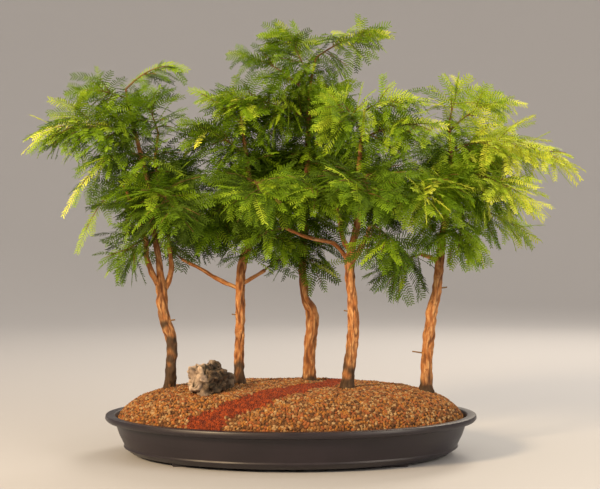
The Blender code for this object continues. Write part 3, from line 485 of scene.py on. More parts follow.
def limestone():
    """Weathered limestone: pale and pitted on one side, dark on the other with moss and painted shade.

    The hollows, which the hollow attribute tells, are darker in patches, and moss with painted shade lies on the
    right side, where its own attribute says.
    """
    finish, tree, shader = principled("weathered limestone", {"Roughness": 0.9, "IOR": 1.5})
    place = add(tree, "ShaderNodeTexCoord").outputs["Object"]
    hollow = add(tree, "ShaderNodeAttribute", attribute_name="hollow")
    mossy = add(tree, "ShaderNodeAttribute", attribute_name="mossy")
    patches = add(tree, "ShaderNodeTexNoise", {"Vector": place, "Scale": per(0.016), "Detail": 6.0})
    depth = add(tree, "ShaderNodeMath", {
        0: hollow.outputs["Fac"], 1: patches.outputs["Fac"]}, operation="MULTIPLY")
    darker_in_hollows = add(tree, "ShaderNodeMapRange", {
        "Value": depth.outputs[0], "From Min": 0.16, "From Max": 0.42})
    tone = add(tree, "ShaderNodeMapRange", {
        "Value": patches.outputs["Fac"], "From Min": 0.40, "From Max": 0.62})
    pale = add(tree, "ShaderNodeMix", {
        0: tone.outputs["Result"], 6: linear("8A7768"), 7: linear("CBB39C")}, data_type="RGBA")
    moss_patches = add(tree, "ShaderNodeTexNoise", {"Vector": place, "Scale": per(0.008), "Detail": 5.0})
    moss_tone = add(tree, "ShaderNodeMapRange", {
        "Value": moss_patches.outputs["Fac"], "From Min": 0.38, "From Max": 0.66})
    # Moss colours, darkened further as painted shade on the side away from the key light
    shaded_moss = add(tree, "ShaderNodeMix", {
        0: moss_tone.outputs["Result"], 6: linear("261B11"), 7: linear("6C5843")}, data_type="RGBA")
    moss_and_shade_mix = add(tree, "ShaderNodeMix", {
        0: mossy.outputs["Fac"], 6: pale.outputs[2], 7: shaded_moss.outputs[2]}, data_type="RGBA")
    colour = add(tree, "ShaderNodeMix", {
        0: darker_in_hollows.outputs["Result"], 6: moss_and_shade_mix.outputs[2], 7: linear("2E2618")}, data_type="RGBA")
    tree.links.new(colour.outputs[2], shader.inputs["Base Color"])
    pits = add(tree, "ShaderNodeTexNoise", {"Vector": place, "Scale": per(0.0022), "Detail": 6.0})
    bump = add(tree, "ShaderNodeBump", {
        "Height": pits.outputs["Fac"], "Strength": 0.7, "Distance": 0.0008})
    tree.links.new(bump.outputs["Normal"], shader.inputs["Normal"])
    return finish


def redwood_bark():
    """Redwood bark: long soft fibres in orange and red-brown, peeling in strips over darker furrows.

    The limb attribute runs straight along each limb, so the fibres follow its bends.
    """
    finish, tree, shader = principled("fibrous redwood bark", {"Roughness": 0.82, "IOR": 1.45})
    along = add(tree, "ShaderNodeAttribute", attribute_name="limb").outputs["Vector"]
    relief = add(tree, "ShaderNodeAttribute", attribute_name="relief").outputs["Fac"]
    soiled = add(tree, "ShaderNodeAttribute", attribute_name="soiled").outputs["Fac"]
    fibre_place = add(tree, "ShaderNodeMapping", {
        "Vector": along, "Scale": (per(0.0018), per(0.0018), per(0.010))})
    fibres = add(tree, "ShaderNodeTexNoise", {
        "Vector": fibre_place.outputs[0], "Scale": 1.0, "Detail": 5.0, "Roughness": 0.6})
    strip_place = add(tree, "ShaderNodeMapping", {
        "Vector": along, "Scale": (per(0.0050), per(0.0050), per(0.011))})
    strips = add(tree, "ShaderNodeTexNoise", {
        "Vector": strip_place.outputs[0], "Scale": 1.0, "Detail": 3.0})
    strip_share = add(tree, "ShaderNodeMapRange", {
        "Value": strips.outputs["Fac"], "From Min": 0.38, "From Max": 0.62})
    warm = add(tree, "ShaderNodeMix", {
        0: strip_share.outputs["Result"], 6: linear("BD7B42"), 7: linear("E2B077")}, data_type="RGBA")
    fibre_share = add(tree, "ShaderNodeMapRange", {
        "Value": fibres.outputs["Fac"], "From Min": 0.36, "From Max": 0.66})
    streaked = add(tree, "ShaderNodeMix", {
        0: fibre_share.outputs["Result"], 6: linear("9B5F30"), 7: warm.outputs[2]}, data_type="RGBA")
    blotch_place = add(tree, "ShaderNodeMapping", {
        "Vector": along, "Scale": (per(0.0038), per(0.0038), per(0.006))})
    blotches = add(tree, "ShaderNodeTexNoise", {
        "Vector": blotch_place.outputs[0], "Scale": 1.0, "Detail": 4.0, "Roughness": 0.6})
    blotch_share = add(tree, "ShaderNodeMapRange", {
        "Value": blotches.outputs["Fac"], "From Min": 0.56, "From Max": 0.70, "To Max": 0.75})
    blotched = add(tree, "ShaderNodeMix", {
        0: blotch_share.outputs["Result"], 6: streaked.outputs[2], 7: linear("6B4022")}, data_type="RGBA")
    depth = add(tree, "ShaderNodeMapRange", {"Value": relief, "From Min": 0.05, "From Max": 0.50})
    furrowed = add(tree, "ShaderNodeMix", {
        0: depth.outputs["Result"], 6: linear("6E3E1E"), 7: blotched.outputs[2]}, data_type="RGBA")
    # Soil splashed up a trunk's foot, and painted shade that darkens a whole trunk evenly, both through the same
    # attribute
    colour = add(tree, "ShaderNodeMix", {
        0: soiled, 6: furrowed.outputs[2], 7: linear("33281C")}, data_type="RGBA")
    tree.links.new(colour.outputs[2], shader.inputs["Base Color"])
    bump = add(tree, "ShaderNodeBump", {
        "Height": fibres.outputs["Fac"], "Strength": 0.6, "Distance": 0.0004})
    tree.links.new(bump.outputs["Normal"], shader.inputs["Normal"])
    return finish


def twig_bark():
    """Bark of young redwood twigs: thin, smooth and red-brown, a little glossy."""
    finish, tree, shader = principled("young redwood twig", {"Roughness": 0.55, "IOR": 1.45})
    place = add(tree, "ShaderNodeTexCoord").outputs["Object"]
    patches = add(tree, "ShaderNodeTexNoise", {"Vector": place, "Scale": per(0.012), "Detail": 3.0})
    colour = add(tree, "ShaderNodeMix", {
        0: patches.outputs["Fac"], 6: linear("5B4320"), 7: linear("8F6A35")}, data_type="RGBA")
    tree.links.new(colour.outputs[2], shader.inputs["Base Color"])
    return finish


def needle_green(name, hex_colour):
    """Soft flat needles: one plain green to a spray, with the waxy sheen of young leaves."""
    finish, _, _ = principled(f"{name} needles", {
        "Base Color": linear(hex_colour), "Roughness": 0.62, "IOR": 1.38, "Specular IOR Level": 0.25,
    })
    return finish


# Geometry Nodes: each tree takes named inputs, and its result becomes a plain mesh

def new_tree(name, sockets):
    tree = bpy.data.node_groups.new(name, "GeometryNodeTree")
    tree.interface.new_socket("Geometry", in_out="INPUT", socket_type="NodeSocketGeometry")
    tree.interface.new_socket("Geometry", in_out="OUTPUT", socket_type="NodeSocketGeometry")
    for label, kind in sockets.items():
        tree.interface.new_socket(label, in_out="INPUT", socket_type="NodeSocket" + kind)
    return tree, tree.nodes.new("NodeGroupInput").outputs


def end_tree(tree, geometry, material):
    """Ends a tree: its instances realised and its material set."""
    real = add(tree, "GeometryNodeRealizeInstances", {"Geometry": geometry})
    finished = add(tree, "GeometryNodeSetMaterial", {
        "Geometry": real.outputs["Geometry"], "Material": material})
    add(tree, "NodeGroupOutput", {"Geometry": finished.outputs["Geometry"]})


def made_by(tree, guide, name, inputs):
    """The plain mesh that the tree makes from the guide object, which is then removed."""
    step = guide.modifiers.new("make", "NODES")
    step.node_group = tree
    sockets = {item.name: item.identifier for item in tree.interface.items_tree if item.in_out == "INPUT"}
    for label, value in inputs.items():
        step[sockets[label]] = value
    graph = bpy.context.evaluated_depsgraph_get()
    mesh = bpy.data.meshes.new_from_object(guide.evaluated_get(graph))
    guide.modifiers.remove(step)
    bpy.data.objects.remove(guide)
    mesh.name = name
    piece = bpy.data.objects.new(name, mesh)
    bpy.context.scene.collection.objects.link(piece)
    return piece


def spray_tree():
    """Needles in two ranks along the lines of the sprays, and a thin green axis under them.

    Each point of a line carries the way the spray faces, the length of its needles and the angle
    at which they leave the axis.
    """
    tree, given = new_tree("sprays of needles", {
        "Spacing": "Float", "Needle width": "Float", "Axis radius": "Float", "Shortest": "Float",
        "Seed": "Int", "Needle": "Object", "Green": "Material"})
    curve = add(tree, "GeometryNodeMeshToCurve", {"Mesh": given["Geometry"]}).outputs["Curve"]
    spots = add(tree, "GeometryNodeCurveToPoints", {"Curve": curve, "Length": given["Spacing"]}, mode="LENGTH")
    face = add(tree, "GeometryNodeInputNamedAttribute", {"Name": "face"}, data_type="FLOAT_VECTOR")
    needle = add(tree, "GeometryNodeInputNamedAttribute", {"Name": "needle"}, data_type="FLOAT")
    sweep = add(tree, "GeometryNodeInputNamedAttribute", {"Name": "sweep"}, data_type="FLOAT")
    tangent, face, sweep = spots.outputs["Tangent"], face.outputs["Attribute"], sweep.outputs["Attribute"]
    across = add(tree, "ShaderNodeVectorMath", {0: face, 1: tangent}, operation="CROSS_PRODUCT")
    forward_share = add(tree, "ShaderNodeMath", {0: sweep}, operation="COSINE")
    side_share = add(tree, "ShaderNodeMath", {0: sweep}, operation="SINE")
    forward = add(tree, "ShaderNodeVectorMath", {
        0: tangent, "Scale": forward_share.outputs[0]}, operation="SCALE")
    long_enough = add(tree, "FunctionNodeCompare", {
        "A": needle.outputs["Attribute"], "B": given["Shortest"]}, operation="GREATER_THAN")
    form = add(tree, "GeometryNodeObjectInfo", {"Object": given["Needle"]}).outputs["Geometry"]
    ranks = []
    for side in (-1, 1):
        seed = add(tree, "ShaderNodeMath", {0: given["Seed"], 1: side}, operation="ADD")
        length = add(tree, "FunctionNodeRandomValue", {
            2: 0.84, 3: 1.06, "Seed": seed.outputs[0]}, data_type="FLOAT")
        length = add(tree, "ShaderNodeMath", {
            0: length.outputs[1], 1: needle.outputs["Attribute"]}, operation="MULTIPLY")
        aside = add(tree, "ShaderNodeMath", {0: side_share.outputs[0], 1: side}, operation="MULTIPLY")
        sideways = add(tree, "ShaderNodeVectorMath", {
            0: across.outputs[0], "Scale": aside.outputs[0]}, operation="SCALE")
        way = add(tree, "ShaderNodeVectorMath", {0: forward.outputs[0], 1: sideways.outputs[0]}, operation="ADD")
        lie = add(tree, "FunctionNodeAxesToRotation", {
            "Primary Axis": way.outputs[0], "Secondary Axis": face}, primary_axis="Y", secondary_axis="Z")
        wobble = add(tree, "FunctionNodeRandomValue", {
            0: (-0.16, -0.34, -0.10), 1: (0.10, 0.34, 0.10), "Seed": seed.outputs[0]}, data_type="FLOAT_VECTOR")
        turned = add(tree, "FunctionNodeRotateRotation", {
            0: lie.outputs[0], 1: wobble.outputs[0]}, rotation_space="LOCAL")
        size = add(tree, "ShaderNodeCombineXYZ", {
            "X": given["Needle width"], "Y": length.outputs[0], "Z": length.outputs[0]})
        rank = add(tree, "GeometryNodeInstanceOnPoints", {
            "Points": spots.outputs["Points"], "Selection": long_enough.outputs[0], "Instance": form,
            "Rotation": turned.outputs[0], "Scale": size.outputs[0]})
        ranks.append(rank.outputs["Instances"])
    section = add(tree, "GeometryNodeCurvePrimitiveCircle", {"Resolution": 3, "Radius": given["Axis radius"]})
    axis = add(tree, "GeometryNodeCurveToMesh", {
        "Curve": curve, "Profile Curve": section.outputs["Curve"], "Fill Caps": True})
    both = add(tree, "GeometryNodeJoinGeometry")
    for geometry in (*ranks, axis.outputs["Mesh"]):
        tree.links.new(geometry, both.inputs["Geometry"])
    end_tree(tree, both.outputs["Geometry"], given["Green"])
    return tree


def twig_tree():
    """A round twig along each line, as wide as the line says at each point."""
    tree, given = new_tree("twigs", {"Sides": "Int", "Bark": "Material"})
    width = add(tree, "GeometryNodeInputNamedAttribute", {"Name": "width"}, data_type="FLOAT")
    curve = add(tree, "GeometryNodeMeshToCurve", {"Mesh": given["Geometry"]})
    section = add(tree, "GeometryNodeCurvePrimitiveCircle", {"Resolution": given["Sides"], "Radius": 0.5})
    tube = add(tree, "GeometryNodeCurveToMesh", {
        "Curve": curve.outputs["Curve"], "Profile Curve": section.outputs["Curve"],
        "Scale": width.outputs["Attribute"], "Fill Caps": True})
    smooth = add(tree, "GeometryNodeSetShadeSmooth", {"Geometry": tube.outputs["Mesh"]})
    end_tree(tree, smooth.outputs["Geometry"], given["Bark"])
    return tree


def grain_tree():
    """Broken grains scattered over a surface where its share attribute says, each turned its own way.

    One scatter is dealt out among several materials: a call takes the grains of one kind.
    """
    tree, given = new_tree("scattered grains", {
        "Spacing": "Float", "Smallest": "Float", "Largest": "Float", "Seed": "Int", "Kinds": "Int",
        "Kind": "Int", "Grain": "Object", "Rock": "Material"})
    share = add(tree, "GeometryNodeInputNamedAttribute", {"Name": "share"}, data_type="FLOAT")
    spots = add(tree, "GeometryNodeDistributePointsOnFaces", {
        "Mesh": given["Geometry"], "Distance Min": given["Spacing"], "Density Max": 1500000.0,
        "Density Factor": share.outputs["Attribute"], "Seed": given["Seed"]}, distribute_method="POISSON")
    last = add(tree, "ShaderNodeMath", {0: given["Kinds"], 1: 1.0}, operation="SUBTRACT")
    drawn = add(tree, "FunctionNodeRandomValue", {4: 0, 5: last.outputs[0], "Seed": given["Seed"]}, data_type="INT")
    mine = add(tree, "FunctionNodeCompare", {
        2: drawn.outputs[2], 3: given["Kind"]}, data_type="INT", operation="EQUAL")
    turn = add(tree, "FunctionNodeRandomValue", {
        0: (0.0, 0.0, 0.0), 1: (math.tau, math.tau, math.tau), "Seed": 3}, data_type="FLOAT_VECTOR")
    sizes = [add(tree, "FunctionNodeRandomValue", {
        2: given["Smallest"], 3: given["Largest"], "Seed": 10 + axis}, data_type="FLOAT").outputs[1]
        for axis in range(3)]
    size = add(tree, "ShaderNodeCombineXYZ", {"X": sizes[0], "Y": sizes[1], "Z": sizes[2]})
    form = add(tree, "GeometryNodeObjectInfo", {"Object": given["Grain"]}).outputs["Geometry"]
    grains = add(tree, "GeometryNodeInstanceOnPoints", {
        "Points": spots.outputs["Points"], "Selection": mine.outputs[0], "Instance": form,
        "Rotation": turn.outputs[0], "Scale": size.outputs[0]})
    end_tree(tree, grains.outputs["Instances"], given["Rock"])
    return tree


# Camera, light and floor

def make_camera():
    camera = bpy.data.objects.new("camera", bpy.data.cameras.new("camera"))
    camera.data.lens = CAMERA_LENS
    camera.data.sensor_width = SENSOR_WIDTH
    camera.location = POT + CAMERA_PLACE
    camera.rotation_euler = (math.pi / 2, 0.0, 0.0)
    bpy.context.scene.collection.objects.link(camera)
    bpy.context.scene.camera = camera


def area_light(name, place, target, size, power, hex_colour):
    light = bpy.data.lights.new(name, "AREA")
    light.shape = "DISK"
    light.size = size
    light.energy = power
    light.color = linear(hex_colour)[:3]
    lamp = bpy.data.objects.new(name, light)
    lamp.location = POT + Vector(place)
    lamp.rotation_euler = (Vector(target) - Vector(place)).to_track_quat("-Z", "Y").to_euler()
    bpy.context.scene.collection.objects.link(lamp)


def make_studio():
    """Warm key light from the front left, soft fill from the right and behind, and a pale floor."""
    middle = (0.0, 0.0, 0.28)
    area_light("key", (-1.6, -1.7, 1.20), middle, 0.55, 86.0, "FFDFB0")
    area_light("fill", (1.9, -1.5, 1.0), middle, 1.4, 30.0, "FFF2DE")
    area_light("back", (0.9, 1.9, 1.6), middle, 1.2, 30.0, "FFF1DC")
    world = bpy.data.worlds.new("studio")
    world.use_nodes = True
    world.node_tree.nodes["Background"].inputs["Color"].default_value = linear("EDE4D8")
    world.node_tree.nodes["Background"].inputs["Strength"].default_value = 0.92
    bpy.context.scene.world = world
    bpy.context.scene.view_settings.view_transform = "Standard"

    profile = [(0.0, 0.0), (FLOOR_FLAT, 0.0)]
    for step in range(1, FLOOR_STEPS + 1):
        angle = math.pi / 2 * step / FLOOR_STEPS
        profile.append((FLOOR_FLAT + FLOOR_CURVE * math.sin(angle), FLOOR_CURVE * (1 - math.cos(angle))))
    profile.append((FLOOR_FLAT + FLOOR_CURVE, FLOOR_WALL))
    floor = revolved("floor", profile, 96, lambda size, angle: (size * math.cos(angle), size * math.sin(angle)))
    floor.data.shade_smooth()
    finish, _, _ = principled("pale matt floor", {"Base Color": linear("BCBCC0"), "Roughness": 0.7})
    floor.data.materials.append(finish)


# Turned and oval shapes

def revolved(name, profile, segments, place):
    """Rings of one profile joined into a surface, closed where the profile reaches the middle."""
    points, rings, faces = [], [], []
    for size, height in profile:
        if size == 0.0:
            rings.append([len(points)] * segments)
            points.append((0.0, 0.0, height))
            continue
        rings.append([len(points) + turn for turn in range(segments)])
        for turn in range(segments):
            x, y = place(size, math.tau * turn / segments)
            points.append((x, y, height))
    for low, high in zip(rings, rings[1:]):
        for turn in range(segments):
            after = (turn + 1) % segments
            corners = [low[turn], low[after], high[after], high[turn]]
            faces.append(list(dict.fromkeys(corners)))
    return new_object(name, points, faces)


def oval(size, angle):
    """A point of the tray's oval, whose rings keep one wall width all round."""
    edge_length, edge_width = MOUND_HALF
    width = size - OVAL_DIFFERENCE if size > edge_length else size * edge_width / edge_length
    return size * math.cos(angle), width * math.sin(angle)


def rounded(profile, radius, steps=3):
    """The profile with each inner corner replaced by a small curve."""
    result = [profile[0]]
    for before, corner, after in zip(profile, profile[1:], profile[2:]):
        corner = Vector(corner)
        back, on = Vector(before) - corner, Vector(after) - corner
        cut = min(radius, back.length / 2.2, on.length / 2.2)
        start, stop = corner + back.normalized() * cut, corner + on.normalized() * cut
        for step in range(steps + 1):
            share = step / steps
            point = start * (1 - share) ** 2 + corner * 2 * share * (1 - share) + stop * share ** 2
            result.append((point.x, point.y))
    return result + [profile[-1]]


def make_tray():
    finish = moulded_plastic()
    tray = revolved("moulded_tray", rounded(TRAY_PROFILE, TRAY_ROUNDING), TRAY_SEGMENTS, oval)
    solid = bmesh.new()
    solid.from_mesh(tray.data)
    for side in (-1, 1):
        for end in (-1, 1):
            middle = Vector((side * FOOT_PLACE[0], end * FOOT_PLACE[1], FOOT_SIZE.z / 2))
            place = Matrix.Translation(middle) @ Matrix.Diagonal((*FOOT_SIZE, 1.0))
            foot = bmesh.ops.create_cube(solid, size=1.0, matrix=place)["verts"]
            edges = {edge for vert in foot for edge in vert.link_edges}
            bmesh.ops.bevel(solid, geom=list(edges), offset=0.0007, segments=2, affect="EDGES")
    solid.to_mesh(tray.data)
    solid.free()
    outward(tray)
    tray.data.shade_smooth()
    tray.data.set_sharp_from_angle(angle=math.radians(50))
    tray.data.materials.append(finish)
    into_frame(tray, ["tray"])


# The mound, its grains and the path

def ground(x, y):
    """Height of the mound's surface: a flat dome, heaped and hollowed a little away from its edge."""
    out = min(1.0, (x / MOUND_HALF[0]) ** 2 + (y / MOUND_HALF[1]) ** 2)
    dome = MOUND_RISE * (1 - out ** MOUND_FLATNESS) ** MOUND_ROUNDING
    relief = RELIEF_HEIGHT * noise.noise(Vector((x, y, 0.0)) / RELIEF_WIDTH) * (1 - out ** MOUND_FLATNESS)
    return MOUND_EDGE + dome + relief


def through(rows, spacing):
    """Points of a smooth curve through the given rows, about one spacing apart."""
    times = [0.0]
    for here, there in zip(rows, rows[1:]):
        times.append(times[-1] + (there - here).length)
    last = len(rows) - 1
    slopes = []
    for index in range(len(rows)):
        low, high = max(index - 1, 0), min(index + 1, last)
        slopes.append((rows[high] - rows[low]) / (times[high] - times[low]))
    curve = []
    for index in range(last):
        span = times[index + 1] - times[index]
        steps = max(1, round(span / spacing))
        for step in range(steps):
            t = step / steps
            curve.append(
                rows[index] * (2 * t ** 3 - 3 * t ** 2 + 1) + slopes[index] * span * (t ** 3 - 2 * t ** 2 + t)
                + rows[index + 1] * (3 * t ** 2 - 2 * t ** 3) + slopes[index + 1] * span * (t ** 3 - t ** 2)
            )
    return curve + [rows[last]]


def path_outline():
    rows = (PATH_TO_RIM,) + PATH_ACROSS
    lefts = through([Vector((row[0], row[1], 0.0)) for row in rows], 0.008)
    rights = through([Vector((row[2], row[3], 0.0)) for row in rows], 0.008)
    return lefts + rights[::-1]


def on_path(x, y, outline):
    """Whether a point lies inside the path's outline, whose edge strays a little."""
    place = Vector((x, y, 0.0)) / PATH_STRAY_WIDTH
    x += PATH_STRAY * noise.noise(place + PATH_STRAY_SHIFTS[0])
    y += PATH_STRAY * noise.noise(place + PATH_STRAY_SHIFTS[1])
    crossings = False
    for here, there in zip(outline, outline[1:] + outline[:1]):
        if (here.y > y) != (there.y > y):
            if x < here.x + (there.x - here.x) * (y - here.y) / (there.y - here.y):
                crossings = not crossings
    return crossings


def grain_form():
    """A broken grain: a small faceted ball with its corners pushed in and out."""
    solid = bmesh.new()
    bmesh.ops.create_icosphere(solid, subdivisions=1, radius=1.0)
    rng = random.Random("grain")
    for vert in solid.verts:
        vert.co *= rng.uniform(0.72, 1.18)
    form = new_object("grain_form", [], [])
    solid.to_mesh(form.data)
    solid.free()
    return form


def mound_surface(name, wanted):
    """The mound's open surface, with a share attribute that says where grains lie."""
    rings = [step / MOUND_RINGS for step in range(MOUND_RINGS + 1)]
    profile = [(ring * MOUND_HALF[0], 0.0) for ring in rings]
    surface = revolved(name, profile, MOUND_SEGMENTS, oval)
    shares = surface.data.attributes.new("share", "FLOAT", "POINT")
    for vert, share in zip(surface.data.vertices, shares.data):
        vert.co.z = ground(vert.co.x, vert.co.y) - MOUND_SUNK
        share.value = wanted(vert.co.x, vert.co.y)
    return surface


def make_mound():
    """The soil, a little darker than its gravel, closed by the wall it leaves inside the tray."""
    profile = [(0.0, 0.0095), (0.1955, 0.0095), (0.2013, 0.0125), (0.2158, 0.0440)]
    rings = [1 - step / MOUND_RINGS for step in range(MOUND_RINGS + 1)]
    profile += [(ring * MOUND_HALF[0], MOUND_EDGE) for ring in rings]
    mound = revolved("mound_soil", profile, MOUND_SEGMENTS, oval)
    for vert in mound.data.vertices:
        if vert.co.z == mound.data.vertices[-1].co.z:
            vert.co.z = ground(vert.co.x, vert.co.y) - MOUND_SUNK
    outward(mound)
    mound.data.shade_smooth()
    mound.data.materials.append(crushed_rock("dark crushed rock soil", "452C13", "6B4620"))
    mound.data.materials.append(crushed_rock("red crushed rock dust", "5A1E05", "843509"))
    outline = path_outline()
    for face in mound.data.polygons:
        if face.center.z > MOUND_EDGE - MOUND_SUNK * 2 and on_path(face.center.x, face.center.y, outline):
            face.material_index = 1
    into_frame(mound, ["gravel_mound"])


def make_gravel():
    """Grains of several rocks dealt out over the mound, and finer red ones along the path."""
    outline = path_outline()
    tree, form = grain_tree(), grain_form()
    rocks = (
        ("tan", "7E532A", "A07240"), ("ochre", "8A5620", "AB7231"), ("brown", "6A421F", "85582D"),
        ("pale", "917047", "B39164"), ("dark", "482A12", "64401F"), ("rust", "80451F", "9E5D2D"),
    )
    for kind, (rock, dark, light) in enumerate(rocks):
        surface = mound_surface("guide", lambda x, y: 0.0 if on_path(x, y, outline) else 1.0)
        piece = made_by(tree, surface, f"gravel_{rock}", {
            "Spacing": GRAIN_SPACING, "Smallest": GRAIN_SIZE[0], "Largest": GRAIN_SIZE[1], "Seed": 5,
            "Kinds": len(rocks), "Kind": kind, "Grain": form,
            "Rock": crushed_rock(f"crushed {rock} rock", dark, light)})
        into_frame(piece)
    reds = (("red", "792A05", "A0430E"), ("dark_red", "571C05", "7C3009"))
    for kind, (rock, dark, light) in enumerate(reds):
        surface = mound_surface("guide", lambda x, y: 1.0 if on_path(x, y, outline) else 0.0)
        piece = made_by(tree, surface, f"path_{rock}", {
            "Spacing": PATH_GRAIN_SPACING, "Smallest": PATH_GRAIN_SIZE[0], "Largest": PATH_GRAIN_SIZE[1],
            "Seed": 8, "Kinds": len(reds), "Kind": kind, "Grain": form,
            "Rock": crushed_rock(f"crushed {rock} rock", dark, light)})
        into_frame(piece, ["gravel_path"])
    bpy.data.objects.remove(form)


def stone_facet(way):
    """How far a broken face of the stone stands out or in: each one is flat and tilted its own way."""
    distances, middles = noise.voronoi(Vector((way.x, way.y, way.z * 0.6)) * 2.7)
    tilt = noise.cell_vector(middles[0] * 5.1) * 2 - Vector((1.0, 1.0, 1.0))
    level = noise.cell(middles[0] * 7.3) * 0.030
    return level + tilt.dot(way * 2.7 - middles[0]) * 0.060


def make_stone():
    """The stone at its own form, with facets, ledges and pits too fine for the solid."""
    solid = bmesh.new()
    bmesh.ops.create_icosphere(solid, subdivisions=6, radius=1.0)
    layer = solid.verts.layers.float.new("hollow")
    mossy = solid.verts.layers.float.new("mossy")
    for vert in solid.verts:
        way = vert.co.normalized()
        share = STONE_SIZE
        for height, fineness, shift in STONE_ROUGHNESS:
            share += height * noise.noise(way * fineness + shift)
        for lobe, size in STONE_LOBES:
            share += size * max(0.0, way.dot(lobe.normalized())) ** STONE_LOBE_SHARPNESS
        crack = 1 - abs(noise.noise(Vector((way.x, way.y, way.z * 0.5)) * 3.4 + Vector((8.0, 2.0, 5.0)))) * 6
        pits = noise.fractal(way * 9.0, 0.9, 2.1, 4)
        depth = max(0.0, crack) * 0.065 - pits * 0.026 - stone_facet(way)
        vert[layer] = min(1.0, max(0.0, 0.25 + depth * 7))
        shift = 0.30 * noise.noise(way * 2.6 + Vector((2.0, 9.0, 4.0)))
        # Moss and painted shade: the right side, away from the key light, is marked for the dark colour
        vert[mossy] = min(1.0, max(0.0, 0.5 + (way.x - 0.12 * way.z + shift) / 0.24))
        vert.co = STONE_MIDDLE + Vector(s * h for s, h in zip(way * (share - depth), STONE_HALF))
        vert.co.z = max(vert.co.z, STONE_BASE)
    stone = new_object("rugged_stone", [], [])
    solid.to_mesh(stone.data)
    solid.free()
    stone.data.shade_smooth()
    stone.data.materials.append(limestone())
    into_frame(stone, ["stone"])


# Trunks and boughs

class Limb:
    """The smooth line and widths of a trunk or bough."""

    def __init__(self, name, foot, start, start_width, bends):
        rows = [Vector((*start, start_width))]
        rows += [Vector((foot[0] + b.x, foot[1] + b.y, b.height, b.width)) for b in bends]
        self.name = name
        self.tree = name.split("_")[1]
        self.foot = foot
        self.rows = through(rows, RING_SPACING)
        self.line = [row.xyz for row in self.rows]

    def at(self, height):
        """The point on the middle line at a height, or its tip."""
        if height is TIP:
            return self.line[-1].copy()
        return min(self.line, key=lambda spot: abs(spot.z - height)).copy()

    def width_at(self, height):
        return min(self.rows, key=lambda row: abs(row.z - height)).w


def foot_height(foot, width):
    reach = width / 2
    turns = [math.tau * turn / 8 for turn in range(8)]
    return min(ground(foot[0] + reach * math.cos(t), foot[1] + reach * math.sin(t)) for t in turns)


def all_limbs():
    limbs = {}
    for tree in TREES:
        start = (*tree.foot, foot_height(tree.foot, tree.foot_width))
        limbs[tree.trunk] = Limb(tree.trunk, tree.foot, start, tree.foot_width, tree.bends)
    for bough in BOUGHS:
        parent = limbs[bough.parent]
        start = parent.at(bough.height)
        limbs[bough.name] = Limb(bough.name, parent.foot, start, bough.bends[0].width, bough.bends)
    return limbs


def bark_relief(place, width):
    """How far the bark stands out at a place along an unbent limb: plates, furrows and fibres."""
    stretched = Vector((place.x / PLATE_WIDTH, place.y / PLATE_WIDTH, place.z / PLATE_LENGTH))
    distances, cells = noise.voronoi(stretched)
    lift = noise.cell(cells[0] * 7.3) * min(1.0, (distances[1] - distances[0]) * 3.5)
    furrow_place = Vector((place.x / FURROW_WIDTH, place.y / FURROW_WIDTH, place.z / FURROW_LENGTH))
    furrow = max(0.0, 1 - abs(noise.noise(furrow_place)) * 5)
    fibre_place = Vector((place.x / FIBRE_WIDTH, place.y / FIBRE_WIDTH, place.z / FIBRE_LENGTH))
    fibre = noise.noise(fibre_place)
    deepest = min(1.0, DEEPEST_SHARE * width / FURROW_DEPTH)
    return (PLATE_LIFT * lift - FURROW_DEPTH * furrow + FIBRE_DEPTH * fibre) * deepest


def rings_along(line):
    """Directions across a line at each of its points, which never twist."""
    normal = Vector((1.0, 0.0, 0.0))
    for index in range(len(line)):
        along = (line[min(index + 1, len(line) - 1)] - line[max(index - 1, 0)]).normalized()
        normal = (normal - along * normal.dot(along)).normalized()
        yield normal, along.cross(normal)


